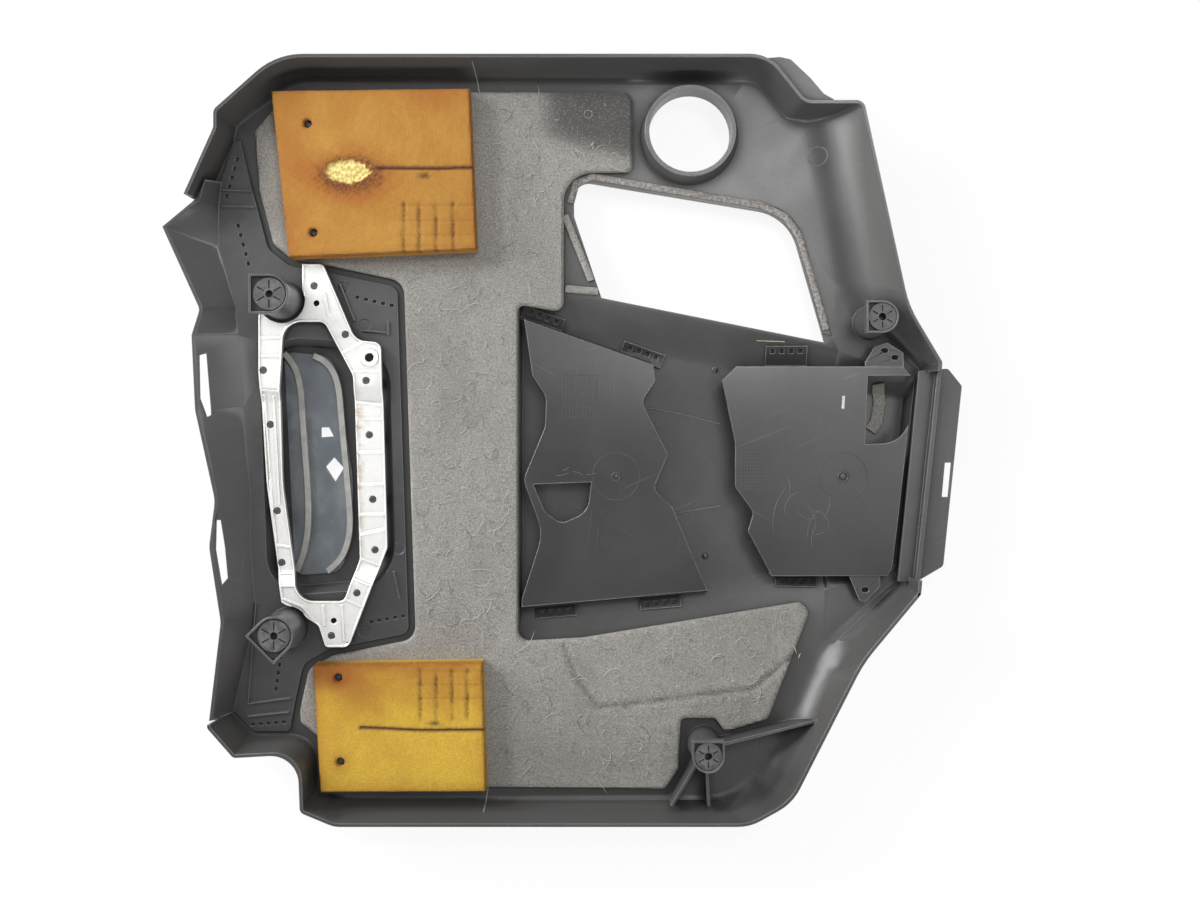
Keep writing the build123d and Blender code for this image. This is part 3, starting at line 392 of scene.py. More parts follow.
SKINS = {
    "front_air_guide": (DUCT, "duct_plastic"),
    "front_bezel": (BEZEL, "bezel_plastic"),
    "main_shell": (SHELL, "shell_plastic"),
    "rear_air_duct": (DUCT, "duct_plastic"),
    "stiffener_frame": (cast_metal("bare_casting"), "cast_aluminium"),
}
PLAIN = {
    "emblem_plate": glossy_badge("badge_gloss"),
    "trim_strip_front": STRIP,
    "trim_strip_rear": STRIP,
    "grommet_front_left": RUBBER,
    "grommet_front_right": RUBBER,
    "grommet_rear_left": RUBBER,
    "grommet_rear_right": RUBBER,
}


def mesh_piece(name, places, faces, finish, tags=None, crease=40):
    """A finished piece from arrays of places and of faces, smooth apart from folds sharper than crease degrees."""
    mesh = bpy.data.meshes.new(name)
    mesh.vertices.add(len(places))
    mesh.vertices.foreach_set("co", np.ascontiguousarray(places, np.float32).ravel())
    loops = np.concatenate([part.ravel() for part in faces])
    sizes = np.concatenate([np.full(len(part), part.shape[1]) for part in faces])
    mesh.loops.add(len(loops))
    mesh.loops.foreach_set("vertex_index", loops.astype(np.int32))
    mesh.polygons.add(len(sizes))
    mesh.polygons.foreach_set("loop_start", (np.cumsum(sizes) - sizes).astype(np.int32))
    mesh.update(calc_edges=True)
    mesh.validate()
    for label, values in (tags or {}).items():
        layer = mesh.attributes.new(label, "FLOAT", "POINT")
        layer.data.foreach_set("value", np.ascontiguousarray(values, np.float32))
    mesh.shade_smooth()
    mesh.set_sharp_from_angle(angle=math.radians(crease))
    mesh.materials.append(finish)
    piece = bpy.data.objects.new(name, mesh)
    bpy.context.scene.collection.objects.link(piece)
    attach(piece, "root")
    return piece


def triangles_of(node):
    """Places of a CAD node's corners and the three corners of each of its triangles."""
    mesh = nodes[node].data
    places = np.empty(len(mesh.vertices) * 3)
    mesh.vertices.foreach_get("co", places)
    mesh.calc_loop_triangles()
    corners = np.empty(len(mesh.loop_triangles) * 3, np.int32)
    mesh.loop_triangles.foreach_get("vertices", corners)
    return places.reshape(-1, 3), corners.reshape(-1, 3)


def merged_triangles(node):
    """The node's triangles with corners at one place, to the micrometre, made one, and flattened ones left out."""
    places, corners = triangles_of(node)
    spots, merged = np.unique(np.round(places * 1e6).astype(np.int64), axis=0, return_inverse=True)
    corners = merged.reshape(-1)[corners]
    apart = (corners != np.roll(corners, -1, 1)).all(1)
    return spots * 1e-6, corners[apart]


def height_on(node, x, y):
    """Height of the topmost triangle over each point, from the point's weights between its corners."""
    places, corners = triangles_of(node)
    a, b, c = (places[corners[:, k]] for k in range(3))
    area = (b[:, 0] - a[:, 0]) * (c[:, 1] - a[:, 1]) - (c[:, 0] - a[:, 0]) * (b[:, 1] - a[:, 1])
    lies = np.abs(area) > 1e-12
    a, b, c, area = a[lies], b[lies], c[lies], area[lies]
    slack = 1e-6
    parts = len(x) * len(a) // AT_ONCE + 1
    heights = []
    for px, py in zip(np.array_split(x, parts), np.array_split(y, parts)):
        dx, dy = px[:, None] - a[:, 0], py[:, None] - a[:, 1]
        u = (dx * (c[:, 1] - a[:, 1]) - (c[:, 0] - a[:, 0]) * dy) / area
        v = ((b[:, 0] - a[:, 0]) * dy - dx * (b[:, 1] - a[:, 1])) / area
        over = (u >= -slack) & (v >= -slack) & (u + v <= 1 + slack)
        z = a[:, 2] + u * (b[:, 2] - a[:, 2]) + v * (c[:, 2] - a[:, 2])
        heights.append(np.where(over, z, 0.0).max(1))
    return np.concatenate(heights)


def top_outline(node):
    """Segments round the flat top of a CAD node: the edges that only one of its top triangles has."""
    places, corners = merged_triangles(node)
    flat = corners[(places[corners][:, :, 2] > places[:, 2].max() - 0.1 * MM).all(1)]
    sides = np.sort(flat[:, [0, 1, 1, 2, 2, 0]].reshape(-1, 2), axis=1)
    single, count = np.unique(sides, axis=0, return_counts=True)
    return places[single[count == 1]][:, :, :2]


def nearest_on(points, segments):
    """Distance from each point to the nearest segment, and the place on it."""
    start, run = segments[:, 0], segments[:, 1] - segments[:, 0]
    squared = np.maximum((run ** 2).sum(1), 1e-16)
    gaps, places = [], []
    for part in np.array_split(points, len(points) * len(segments) // AT_ONCE + 1):
        along = np.clip(((part[:, None] - start) * run).sum(2) / squared, 0, 1)
        foot = start + along[..., None] * run
        gap = np.linalg.norm(part[:, None] - foot, axis=2)
        best = gap.argmin(1)
        rows = np.arange(len(part))
        gaps.append(gap[rows, best])
        places.append(foot[rows, best])
    return np.concatenate(gaps), np.concatenate(places)


def is_inside(points, segments):
    """Even-odd rule: a ray to +x crosses the outline an odd number of times."""
    low, high = segments[:, 0], segments[:, 1]
    rise = np.where(high[:, 1] == low[:, 1], 1.0, high[:, 1] - low[:, 1])
    results = []
    for part in np.array_split(points, len(points) * len(segments) // AT_ONCE + 1):
        x, y = part[:, :1], part[:, 1:]
        spans = (low[:, 1] > y) != (high[:, 1] > y)
        crossing = low[:, 0] + (y - low[:, 1]) * (high[:, 0] - low[:, 0]) / rise
        results.append((spans & (x < crossing)).sum(1) % 2 == 1)
    return np.concatenate(results)


def ripple(x, y, wave, seed, count=9):
    """Even surface noise of about -1 to 1: a mean of sine waves of about one wave length in random directions."""
    draw = np.random.default_rng(seed)
    turn = draw.uniform(0, 2 * np.pi, count)
    size = 2 * np.pi / (wave * draw.uniform(0.7, 1.5, count))
    shift = draw.uniform(0, 2 * np.pi, count)
    phase = np.multiply.outer(x, size * np.cos(turn)) + np.multiply.outer(y, size * np.sin(turn)) + shift
    gain = 1.6
    return np.sin(phase).mean(-1) * gain


def path_gap(x, y, corners):
    """Distance from each point to a path of straight runs."""
    corners = np.array(corners)
    segments = np.stack([corners[:-1], corners[1:]], 1)
    return nearest_on(np.stack([x, y], 1), segments)[0]


def bell(gap, width):
    """Soft line: one in the middle, fading with the square of the distance."""
    return np.exp(-(gap / width) ** 2)


def soft_step(value, width):
    """From zero to one round the place where value is zero."""
    return 1 / (1 + np.exp(-value / width))


def fade_in(value, width):
    """Straight rise from zero to one over width."""
    return np.clip(value / width, 0, 1)


def moulding(node, finish):
    """A moulded node with merged corners, softly broken edges and smooth curved bands."""
    crease = 42
    places, corners = merged_triangles(node)
    piece = mesh_piece(node + "_skin", places, [corners], finish, crease=crease)
    joined = piece.modifiers.new("joined_corners", "WELD")
    joined.merge_threshold = 0.15 * MM
    broken = piece.modifiers.new("broken_edges", "BEVEL")
    broken.limit_method = "ANGLE"
    broken.angle_limit = math.radians(crease)
    broken.width = 0.45 * MM
    broken.segments = 2
    broken.use_clamp_overlap = False
    even = piece.modifiers.new("even_shading", "WEIGHTED_NORMAL")
    even.keep_sharp = True
    even.weight = 50
    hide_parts(node)
    return piece


def laid_mat(name, node, step, edge, finish, slot, relief):
    """A mat on its CAD solid's outline.

    A square grid is kept where it lies inside the outline and its outer points slide to the outline. The top
    is level, rolls over by a quarter circle at the edge, and sinks by what relief gives at each point; a
    straight wall leads to the flat underside.
    """
    low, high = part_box(node)
    outline = top_outline(node)
    across = np.arange(low.x - step, high.x + 2 * step, step)
    along = np.arange(low.y - step, high.y + 2 * step, step)
    grid = np.stack(np.meshgrid(across, along, indexing="ij"), -1)
    points = grid.reshape(-1, 2)
    gap, foot = nearest_on(points, outline)
    within = is_inside(points, outline)
    index = np.arange(len(points)).reshape(grid.shape[:2])
    cells = np.stack([index[:-1, :-1], index[1:, :-1], index[1:, 1:], index[:-1, 1:]], -1).reshape(-1, 4)
    cells = cells[within[cells].any(1)]
    used, cells = np.unique(cells, return_inverse=True)
    cells = cells.reshape(-1, 4)
    spread = np.where(within[used, None], points[used], foot[used])
    depth = np.where(within[used], gap[used], 0.0)
    sink, tags = relief(spread[:, 0], spread[:, 1], depth)
    roll = edge * (1 - np.sqrt(1 - (1 - np.minimum(depth / edge, 1)) ** 2))
    top = np.column_stack([spread, high.z - roll - sink])
    base = np.column_stack([spread, np.full(len(spread), low.z)])
    sides = cells[:, [0, 1, 1, 2, 2, 3, 3, 0]].reshape(-1, 2)
    _, first, count = np.unique(np.sort(sides, axis=1), axis=0, return_index=True, return_counts=True)
    rim = sides[first[count == 1]]
    under = len(top)
    walls = np.column_stack([rim[:, 0] + under, rim[:, 1] + under, rim[:, 1], rim[:, 0]])
    faces = [cells, cells[:, ::-1] + under, walls]
    tags = {label: np.concatenate([values, np.zeros(under)]) for label, values in tags.items()}
    piece = mesh_piece(name, np.concatenate([top, base]), faces, finish, tags)
    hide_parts(node)
    return piece


def strands(name, starts, headings, lengths, bends, lift, radius, finish, points=8):
    """Thin fibres: each path turns evenly from its heading and arches up; a three-sided profile follows it."""
    share = np.linspace(0, 1, points)
    turn = headings[:, None] + bends[:, None] * (share - 0.5) * 2
    step = lengths[:, None] / (points - 1)
    x = starts[:, :1] + np.cumsum(np.cos(turn) * step, 1)
    y = starts[:, 1:2] + np.cumsum(np.sin(turn) * step, 1)
    z = starts[:, 2:3] + lift[:, None] * np.sin(np.pi * share) + radius
    path = np.stack([x, y, z], -1)
    side = np.stack([-np.sin(turn), np.cos(turn), np.zeros_like(turn)], -1)
    rise = np.array([0.0, 0.0, 1.0])
    width = (radius * (1 - 0.7 * np.abs(2 * share - 1) ** 3))[None, :, None]
    ring = np.pi / 2 + np.arange(3) * 2 * np.pi / 3
    profile = np.stack([path + width * (math.cos(a) * side + math.sin(a) * rise) for a in ring], 2)
    index = np.arange(len(starts) * points * 3).reshape(-1, points, 3)
    here, there = index[:, :-1], index[:, 1:]
    tube = np.stack([here, np.roll(here, -1, 2), np.roll(there, -1, 2), there], -1).reshape(-1, 4)
    faces = [tube, index[:, 0, ::-1], index[:, -1]]
    return mesh_piece(name, profile.reshape(-1, 3), faces, finish, crease=180)


def placed_strands(name, curves, level, lift, radius, finish, points=8):
    """Strands given one by one at a level; each curve is (x, y, heading, length, bend) in millimetres and radians.
    """
    x, y, headings, lengths, bends = np.array(curves, float).T
    starts = np.column_stack([x * MM, y * MM, np.full(len(x), level)])
    return strands(name, starts, headings, lengths * MM, bends, np.full(len(x), lift), radius, finish, points)


def run_along(corners, step):
    """Points at even steps along a path of straight runs, and the direction at each."""
    corners = np.array(corners, float) * MM
    length = np.concatenate([[0.0], np.cumsum(np.linalg.norm(np.diff(corners, axis=0), axis=1))])
    share = np.linspace(0, length[-1], max(int(length[-1] / step), 2) + 1)
    points = np.column_stack([np.interp(share, length, corners[:, k]) for k in range(2)])
    heading = np.gradient(points, axis=0)
    return points, heading / np.linalg.norm(heading, axis=1)[:, None]


def ridges(name, node, paths, width, height, finish, slot, step=1.5, rough=0.0, square=2.0):
    """Raised lines on a node's surface, with paths, width, height and step in millimetres.

    Along each path, a profile of width by height follows the surface under it. The profile is the top half of a
    superellipse, which is round at square 2 and flat-topped above it, closed by a flat foot just under the surface.
    Where it leans out over an edge, it hangs down no further than OVERHANG.
    """
    turn = np.linspace(np.pi, 0, 9)
    bulge = np.sign(np.cos(turn)) * np.abs(np.cos(turn)) ** (2 / square)
    across = np.concatenate([bulge, [1.0, -1.0]]) * (width * MM) / 2
    up = np.concatenate([np.sin(turn) ** (2 / square) * (height * MM), [-FOOT, -FOOT]])
    places, faces, ends, count = [], [], [], 0
    for path in paths:
        points, heading = run_along(path, step * MM)
        side = np.column_stack([-heading[:, 1], heading[:, 0]])
        spread = points[:, None] - side[:, None] * across[None, :, None]
        x, y = spread[..., 0].ravel(), spread[..., 1].ravel()
        ground = height_on(node, x, y).reshape(spread.shape[:2])
        ground = np.maximum(ground, ground.max(1, keepdims=True) - OVERHANG)
        uneven = 1 + rough * ripple(x, y, 4 * MM, seed=count + 11).reshape(ground.shape)
        z = ground + np.where(up > 0, up * uneven, up)
        index = count + np.arange(z.size).reshape(z.shape)
        here, there = index[:-1], index[1:]
        places.append(np.concatenate([spread, z[..., None]], -1).reshape(-1, 3))
        faces.append(np.stack([here, there, np.roll(there, -1, 1), np.roll(here, -1, 1)], -1).reshape(-1, 4))
        ends += [index[:1], index[-1:, ::-1]]
        count += z.size
    return mesh_piece(name, np.concatenate(places), faces + ends, finish, crease=60)


def round_marks(name, node, marks, finish, slot):
    """Rings on a node's surface: each (x, y, radius, width, height), in millimetres, is a half-round turned about
    its middle."""
    round_trip = np.linspace(0, 2 * np.pi, 48, endpoint=False)
    turn = np.linspace(np.pi, 0, 7)
    places, faces, count = [], [], 0
    for x, y, radius, width, height in marks:
        out = np.concatenate([radius + np.cos(turn) * width / 2, [radius + width / 2, radius - width / 2]]) * MM
        up = np.concatenate([np.sin(turn) * height * MM, [-FOOT, -FOOT]])
        px = x * MM + np.outer(np.cos(round_trip), out)
        py = y * MM + np.outer(np.sin(round_trip), out)
        ground = height_on(node, px.ravel(), py.ravel()).reshape(px.shape)
        index = count + np.arange(px.size).reshape(px.shape)
        there = np.roll(index, -1, 0)
        places.append(np.stack([px, py, ground + up], -1).reshape(-1, 3))
        faces.append(np.stack([index, np.roll(index, -1, 1), np.roll(there, -1, 1), there], -1).reshape(-1, 4))
        count += px.size
    return mesh_piece(name, np.concatenate(places), faces, finish, crease=60)


def domes(name, node, spots, finish, slot):
    """Raised pips on a node's surface: each (x, y, radius, height), in millimetres, is a half-ellipse turned about
    its middle, with a small flat tip."""
    round_trip = np.linspace(0, 2 * np.pi, 20, endpoint=False)
    fall = np.linspace(0.12, np.pi / 2, 6)
    places, faces, caps, count = [], [], [], 0
    for x, y, radius, height in spots:
        out = np.concatenate([np.sin(fall) * radius, [radius]]) * MM
        up = np.concatenate([np.cos(fall) * height * MM, [-FOOT]])
        px = x * MM + np.outer(out, np.cos(round_trip))
        py = y * MM + np.outer(out, np.sin(round_trip))
        ground = height_on(node, px.ravel(), py.ravel()).reshape(px.shape)
        index = count + np.arange(px.size).reshape(px.shape)
        here, there = index[:-1], index[1:]
        places.append(np.stack([px, py, ground + up[:, None]], -1).reshape(-1, 3))
        faces.append(np.stack([here, there, np.roll(there, -1, 1), np.roll(here, -1, 1)], -1).reshape(-1, 4))
        caps += [index[:1], index[-1:, ::-1]]
        count += px.size
    return mesh_piece(name, np.concatenate(places), faces + caps, finish, crease=60)


def dark_corner(x, y):
    """Darker corner of the felt beside the filler: a soft step from the front and a slanting one from the right."""
    front_x, right_y, slant, slant_x = -0.016, 0.253, 0.25, 0.030
    return soft_step(x - front_x, 5 * MM) * soft_step(y - right_y + slant * (x - slant_x), 3.5 * MM)


def felt_relief(x, y, depth):
    """Felt: slow and quick unevenness, a pressed crease round the pocket at the right with painted shade along it,
    and a darker corner beside the filler.

    Amounts that it sinks by are in millimetres. How deep inside the outline a point lies makes no difference.
    """
    pocket = [(0.000, -0.178), (0.010, -0.206), (0.030, -0.232), (0.164, -0.216), (0.200, -0.186)]
    crease = path_gap(x, y, pocket)
    sink = 0.5 + 0.28 * ripple(x, y, 34 * MM, seed=1) + 0.16 * ripple(x, y, 8 * MM, seed=2)
    sink += 1.1 * bell(crease, 2.2 * MM) - 0.35 * bell(crease - 6 * MM, 4 * MM)
    # the darker corner beside the filler, and painted shade along the crease
    darkened = np.maximum(dark_corner(x, y), 0.55 * bell(crease, 1.6 * MM))
    return np.maximum(sink, 0.0) * MM, {"darkened": darkened}


def pressed_grid(x, y, columns, rows, fuzzy):
    """Marks of a grid pressed into foam: blotted strokes along its columns and faint bars along its rows."""
    field = fade_in(rows[0] + 4 * MM - y, 3 * MM) * fade_in(y - (rows[-1] - 20 * MM), 4 * MM)
    strokes = np.max([bell((x - column) * fuzzy, 1.6 * MM) for column in columns], axis=0)
    strokes *= field * np.clip(0.75 + 0.5 * ripple(x, y, 11 * MM, seed=5), 0.15, 1)
    bars = np.max([bell(y - row, 0.9 * MM) for row in rows], axis=0)
    bars *= field * fade_in(x - (columns[0] - 6 * MM), 4 * MM)
    return strokes, bars


def torn_spot(x, y, middle):
    """A ragged oval torn out of foam, the scorched ring round it and the wider toasted halo, both a little aside."""
    if middle is None:
        return np.zeros((3, len(x)))
    dx, dy = x - middle[0], y - middle[1]
    ragged = 1 + 0.13 * ripple(x, y, 6 * MM, seed=6) + 0.05 * ripple(x, y, 2.2 * MM, seed=10)
    reach = np.hypot(dx / (18.5 * MM), dy / (9.5 * MM)) * ragged
    drift = np.hypot((dx - 3 * MM) / (18.5 * MM), (dy + 3 * MM) / (10.5 * MM)) * ragged
    torn = fade_in(1.05 - reach, 0.1)
    return torn, fade_in(1.8 - drift, 0.6) * (1 - torn), fade_in(2.9 - drift, 1.5) * (1 - torn)


def foam_relief(groove, blot, columns, rows, toast, tear=None):
    """Foam pad: a pressed groove with a blot beside it, a grid pressed in at one corner, and a torn hollow.

    toast gives (x, y, reach across, reach along, strength) of the browned patches. Amounts that the pad sinks by
    are in millimetres.
    """

    def relief(x, y, depth):
        fuzzy = 1 + 0.25 * ripple(x, y, 4 * MM, seed=9)
        line = bell(path_gap(x, y, groove) * fuzzy, 1.5 * MM)
        spot = bell(np.hypot((x - blot[0]) / 2.4, y - blot[1]) * fuzzy, 2.2 * MM)
        pressed = np.maximum(line, 0.8 * spot)
        strokes, bars = pressed_grid(x, y, columns, rows, fuzzy)
        torn, ring, halo = torn_spot(x, y, tear)
        scorched = 0.85 * strokes + 0.22 * bars + 0.5 * np.clip(1 - depth / (2.5 * MM), 0, 1)
        scorched += ring * np.clip(0.8 + 0.6 * ripple(x, y, 3 * MM, seed=8), 0, 1)
        toasted = 0.35 * np.clip(1 - depth / (9 * MM), 0, 1) + 0.9 * halo
        for spot_x, spot_y, wide, long, strength in toast:
            toasted += strength * bell(np.hypot((x - spot_x) / wide, (y - spot_y) / long), 1.0)
        sink = 0.4 + 0.25 * ripple(x, y, 45 * MM, seed=3) + 0.1 * ripple(x, y, 7 * MM, seed=4)
        sink += 2.0 * torn + 0.25 * torn * ripple(x, y, 3 * MM, seed=7) + 0.6 * ring
        sink += 2.0 * pressed + 0.9 * strokes + 0.5 * bars
        return np.maximum(sink, 0.0) * MM, {
            "pressed": np.clip(pressed, 0, 1), "scorched": np.clip(scorched, 0, 1),
            "toasted": np.clip(toasted, 0, 1), "torn": torn}

    return relief


def dress_nodes():
    """Small rigid nodes keep their mesh and get a finish; moulded and cast ones get a skin with broken edges."""
    for node, finish in PLAIN.items():
        mesh = nodes[node].data
        mesh.materials.clear()
        mesh.materials.append(finish)
    for node, (finish, slot) in SKINS.items():
        moulding(node, finish)


def lay_soft_pieces():
    """The felt mat and the two foam pads in place of their CAD solids."""
    felt = laid_mat("felt_sheet", "felt_mat", step=2.3 * MM, edge=2.5 * MM, finish=pressed_felt("pressed_felt"),
                    slot="felt", relief=felt_relief)

    amber = aged_foam("amber_foam", (0.40, 0.215, 0.046, 1), (0.33, 0.158, 0.031, 1))
    foam = {"step": 1.3 * MM, "edge": 1.2 * MM, "slot": "foam"}
    left_relief = foam_relief(
        groove=[(-0.158, 0.2325), (-0.110, 0.2320), (-0.074, 0.2330)], blot=(-0.118, 0.2255),
        columns=[-0.136, -0.123, -0.1085, -0.094], rows=[0.201, 0.188, 0.1755, 0.166],
        toast=[(-0.232, 0.22, 0.014, 0.09, 0.55), (-0.100, 0.292, 0.03, 0.012, 0.7),
               (-0.175, 0.212, 0.022, 0.010, 0.5)],
        tear=(-0.1845, 0.2298))
    left = laid_mat("foam_left", "foam_pad_left", finish=amber, relief=left_relief, **foam)

    yellow = aged_foam("yellow_foam", (0.555, 0.370, 0.046, 1), (0.46, 0.275, 0.037, 1))
    right_relief = foam_relief(
        groove=[(-0.173, -0.2450), (-0.120, -0.2475), (-0.068, -0.2470)], blot=(-0.1095, -0.2417),
        columns=[-0.122, -0.1085, -0.095, -0.082], rows=[-0.197, -0.2085, -0.220],
        toast=[(-0.20, -0.20, 0.03, 0.02, 0.6), (-0.14, -0.190, 0.09, 0.020, 0.6),
               (-0.165, -0.222, 0.02, 0.02, 0.35), (-0.10, -0.212, 0.035, 0.022, 0.35)])
    right = laid_mat("foam_right", "foam_pad_right", finish=yellow, relief=right_relief, **foam)


def grid_lines(low, high, columns, rows):
    """The straight lines of a grid between two corners."""
    lines = [[(x, low[1]), (x, high[1])] for x in np.linspace(low[0], high[0], columns)]
    return lines + [[(low[0], y), (high[0], y)] for y in np.linspace(low[1], high[1], rows)]


def mark_mouldings():
    """Moulded marks: plain grids, rings and gate pips on the air plates, ridges on the skirt and in the trough."""
    guide_gate, duct_gate = (45.3, -31.0), (240.4, -31.0)
    plate = {"finish": MARKS, "slot": "duct_plastic"}
    guide_grid = grid_lines((-1.0, 20.5), (28.6, 57.0), columns=11, rows=9)
    duct_grid = grid_lines((150.4, -42.0), (177.0, -6.5), columns=11, rows=13)
    ridges("guide_grid", "front_air_guide", guide_grid, width=0.7, height=0.22, **plate)
    ridges("duct_grid", "rear_air_duct", duct_grid, width=0.7, height=0.22, **plate)
    guide_rings = [(*guide_gate, 20.5, 0.7, 0.2), (*guide_gate, 3.4, 1.6, 0.9)]
    duct_rings = [(*duct_gate, 20.5, 0.8, 0.25), (*duct_gate, 4.2, 1.8, 1.0)]
    round_marks("guide_rings", "front_air_guide", guide_rings, **plate)
    round_marks("duct_rings", "rear_air_duct", duct_rings, **plate)
    domes("guide_pip", "front_air_guide", [(*guide_gate, 2.4, 0.7)], **plate)
    domes("duct_pip", "rear_air_duct", [(*duct_gate, 3.0, 0.8)], **plate)

    shell = {"finish": SHELL, "slot": "shell_plastic"}
    trough_lines = [[(72.9, 29.2), (104, 23.5), (137.7, 15.0)], [(95.1, -64.9), (137.7, -57.8)]]
    skirt_lines = [[(-77.3, 321.5), (-74.0, 303.0)], [(-66.5, -302.0), (-69.0, -319.0)]]
    ridges("shell_ridges", "main_shell", trough_lines, width=1.6, height=0.7, step=1.0, **shell)
    ridges("skirt_lines", "main_shell", skirt_lines, width=0.9, height=0.35, step=0.8,
           finish=loose_fibre("pale_line", (0.34, 0.34, 0.33, 1)), slot="shell_plastic")
    domes("trough_pips", "main_shell", [(133.2, 62.9, 3.0, 1.6), (124.4, -102.2, 3.0, 1.6)], **shell)
    round_marks("shell_marks", "main_shell", [(221.0, 248.4, 8.2, 1.0, 0.3)], **shell)


def lay_remnants():
    """Felt strips left of the window and in the scoop, and the rough seal along the window's top and right."""
    window_strip = [(0.6, 197.0), (23.6, 140.0)]
    corner_strip = [(1.0, 133.0), (15.0, 131.6), (29.5, 130.6)]
    scoop_strip = [(276.5, 50.0), (279.0, 34.0), (276.0, 16.0), (271.0, 9.0)]
    window_edge = [(5.4, 208.0), (10.0, 225.0), (25.0, 231.0), (101.0, 217.6), (172.8, 205.6), (193.0, 196.0),
                   (206.0, 178.0), (212.6, 156.5), (229.0, 97.0)]
    felt = {"finish": pressed_felt("pale_felt", 1.05), "slot": "felt", "square": 4.0}
    ridges("window_felt", "main_shell", [window_strip], width=6.4, height=2.4, rough=0.12, **felt)
    ridges("corner_felt", "main_shell", [corner_strip], width=6.6, height=3.0, rough=0.12, **felt)
    ridges("scoop_felt", "main_shell", [scoop_strip], width=11.0, height=2.2, rough=0.15, **felt)
    ridges("window_seal", "main_shell", [window_edge], width=6.2, height=1.3, rough=0.45, square=3.0,
           finish=window_seal("window_seal"), slot="shell_plastic")


def bare_felt_spots(tried):
    """Random places on the felt, clear of its edge and of the pads, with only a few in the darker corner beside the
    filler.
    """
    low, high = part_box("felt_mat")
    spots = np.column_stack([rng.uniform(low.x, high.x, tried), rng.uniform(low.y, high.y, tried)])
    outline = top_outline("felt_mat")
    spots = spots[is_inside(spots, outline)]
    spots = spots[nearest_on(spots, outline)[0] > 9 * MM]
    clear = 10 * MM
    for pad in ("foam_pad_left", "foam_pad_right"):
        pad_low, pad_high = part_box(pad)
        spots = spots[(spots[:, 0] < pad_low.x - clear) | (spots[:, 0] > pad_high.x + clear)
                      | (spots[:, 1] < pad_low.y - clear) | (spots[:, 1] > pad_high.y + clear)]
    return spots[(dark_corner(*spots.T) < 0.4) | (np.arange(len(spots)) % 6 == 0)]


def scatter_fibres():
    """Curled fibres standing out of the felt, one in five of them dark, and bits of straw on it."""
    felt_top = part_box("felt_mat")[1].z
    spots = bare_felt_spots(2600)
    count = len(spots)
    starts = np.column_stack([spots, np.full(count, felt_top - 0.75 * MM)])
    headings = rng.uniform(0, 2 * np.pi, count)
    lengths = (5 + 24 * rng.uniform(0, 1, count) ** 3) * MM
    bends = rng.normal(0, 1.9, count)
    lift = rng.uniform(0.4, 1.6, count) * MM
    pale = np.arange(count) % 5 > 0
    for name, some, radius, colour in (("pale_fibres", pale, 0.25 * MM, (0.66, 0.64, 0.60, 1)),
                                       ("dark_fibres", ~pale, 0.14 * MM, (0.07, 0.07, 0.07, 1))):
        strands(name, starts[some], headings[some], lengths[some], bends[some], lift[some], radius,
                loose_fibre(name, colour))

    straw = [(-32.6, 272.0, 0.6, 5, 0.3), (-29.5, 269.5, 2.2, 6, -0.2), (24.5, 252.0, 1.5, 7, 0.2),
             (22.0, 255.5, 0.9, 4, 0.4), (202.0, -186.5, 1.9, 9, 0.2), (203.5, -190.0, 1.2, 5, -0.3)]
    placed_strands("straw", straw, felt_top - 0.3 * MM, lift=0.5 * MM, radius=0.45 * MM,
                   finish=loose_fibre("straw", (0.66, 0.52, 0.30, 1)))


def scratch_plates():
    """Pale scratches half sunk into the two air plates, a scuff on the rear one and a bright line at a weld slot."""
    duct_curves = [(196, -36, -1.9, 46, 0.5), (203, -50, -1.2, 34, -0.7), (206, -44, -2.2, 28, 0.9),
                   (211, -62, -0.7, 26, -1.1), (218, -70, -1.7, 24, 0.4), (200, -58, -0.4, 22, 0.8),
                   (223, -58, -2.0, 30, 0.6), (192, -30, -1.5, 18, -0.4), (214, -80, 0.5, 16, 0.9),
                   (228, -46, -1.8, 22, -0.5)]
    guide_curves = [(-8, -30, 0.2, 12, 0.3), (6, -27, -0.3, 10, -0.4), (18, -29, 0.1, 9, 0.2),
                    (-2, -26, 0.5, 7, 0.3)]
    scratch = loose_fibre("pale_scratch", (0.30, 0.30, 0.29, 1))
    for name, node, curves, points in (("duct_scratches", "rear_air_duct", duct_curves, 16),
                                       ("guide_scratches", "front_air_guide", guide_curves, 10)):
        ground = height_on(node, *np.array(curves, float)[:, :2].T * MM)
        placed_strands(name, curves, ground - 0.12 * MM, lift=0.0, radius=0.16 * MM,
                       finish=scratch, points=points)
    ridges("duct_scuff", "rear_air_duct", [[(240.6, 27.5), (241.4, 38.5)]], width=2.4, height=0.12,
           finish=loose_fibre("pale_scuff", (0.72, 0.71, 0.68, 1)), slot="duct_plastic")
    ridges("slot_line", "main_shell", [[(168.6, 87.6), (193.0, 86.6)]], width=0.8, height=0.5, step=0.8,
           finish=loose_fibre("gilt_line", (0.70, 0.58, 0.33, 1)), slot="shell_plastic")


def seen_directly(graph):
    """One for rays from the camera, and for those that a mirror or glass sends on."""
    ray = graph.add("LightPath").outputs
    mirrored = graph.math("MAXIMUM", ray["Is Glossy Ray"], ray["Is Transmission Ray"])
    return graph.math("MAXIMUM", ray["Is Camera Ray"], mirrored)


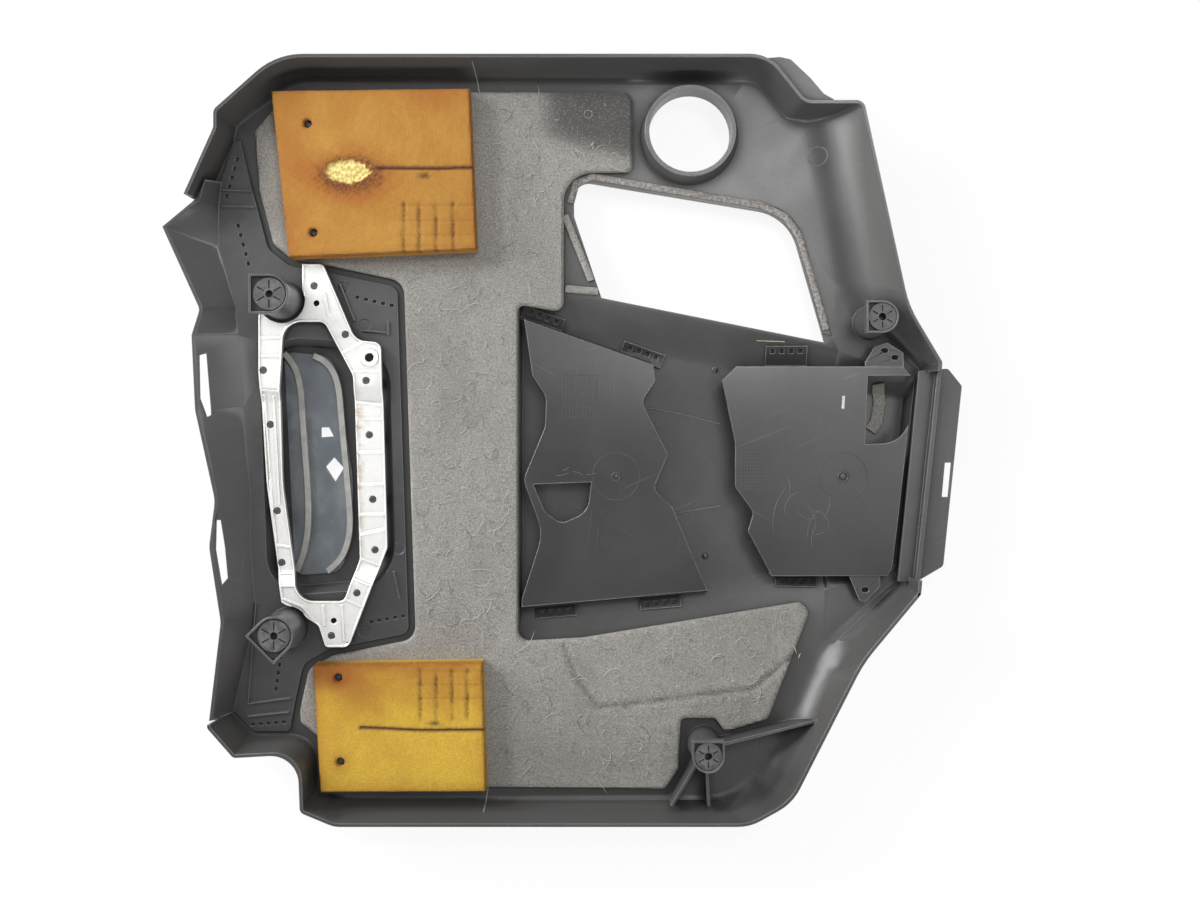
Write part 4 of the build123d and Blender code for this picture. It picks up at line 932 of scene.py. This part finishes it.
def white_table():
    """Table just under the part: mostly plain white to the camera, the rest matte, which keeps the shadow."""
    reach, level, plain_share = 4.0, -0.5 * MM, 0.88
    material, graph, shader = new_finish("white_table")
    graph.fill(shader, {"Base Color": (0.92, 0.92, 0.92, 1), "Roughness": 0.9})
    glow = graph.add("Emission", None, {"Color": (1, 1, 1, 1), "Strength": 1.0})
    blend = graph.add("MixShader", None, {
        0: graph.math("MULTIPLY", seen_directly(graph), plain_share), 1: shader.outputs[0], 2: glow.outputs[0]})
    graph.feed(material.node_tree.nodes["Material Output"].inputs["Surface"], blend.outputs[0])

    mesh = bpy.data.meshes.new("table")
    corners = [(-reach, -reach), (reach, -reach), (reach, reach), (-reach, reach)]
    mesh.from_pydata([(x, y, level) for x, y in corners], [], [(0, 1, 2, 3)])
    mesh.materials.append(material)
    table = bpy.data.objects.new("table", mesh)
    bpy.context.scene.collection.objects.link(table)


def white_room():
    """World that is white to the camera and in mirrors, and gives a quarter of that as light."""
    light = 0.25
    world = bpy.data.worlds.new("white_room")
    world.use_nodes = True
    bpy.context.scene.world = world
    graph = Graph(world.node_tree)
    strength = graph.math("MULTIPLY_ADD", seen_directly(graph), 1 - light, light)
    graph.fill(world.node_tree.nodes["Background"], {"Color": (1, 1, 1, 1), "Strength": strength})


def lamps():
    """Soft lamps that face the part's middle: three above it, and four lower ones for the shine on its skirts."""
    for name, spot, size, energy in (
            ("over_lamp", (0.455, 0.70, 1.70), (0.45, 0.45), 11.0),
            ("middle_lamp", (0.08, 0.40, 1.50), (0.4, 0.4), 1.5),
            ("side_left_lamp", (-1.30, 0.85, 0.95), (0.7, 0.3), 18.0),
            ("low_left_lamp", (-1.50, 0.70, 0.45), (1.3, 0.4), 26.0),
            ("right_lamp", (0.85, -0.05, 1.70), (0.6, 0.4), 3.0),
            ("low_near_lamp", (0.10, -1.45, 0.40), (1.4, 0.5), 14.0),
            ("far_lamp", (-0.50, 1.30, 1.10), (0.5, 0.3), 3.0)):
        lamp = bpy.data.lights.new(name, "AREA")
        lamp.shape = "RECTANGLE"
        lamp.size, lamp.size_y = size
        lamp.energy = energy
        holder = bpy.data.objects.new(name, lamp)
        holder.location = spot
        x, y, z = spot
        holder.rotation_euler = (math.atan2(math.hypot(x, y), z), 0, math.atan2(y, x) + math.pi / 2)
        bpy.context.scene.collection.objects.link(holder)


def overhead_camera():
    """Camera one metre over the table, looking straight down."""
    camera = bpy.data.cameras.new("overhead")
    camera.sensor_width = 36.0
    camera.lens = 33.705
    holder = bpy.data.objects.new("overhead", camera)
    holder.location = (0.0312, -0.0081, 1.0)
    bpy.context.scene.collection.objects.link(holder)
    bpy.context.scene.camera = holder


overhead_camera()
white_table()
white_room()
lamps()
dress_nodes()
lay_soft_pieces()
mark_mouldings()
lay_remnants()
scatter_fibres()
scratch_plates()

bpy.context.scene.view_settings.view_transform = "Standard"
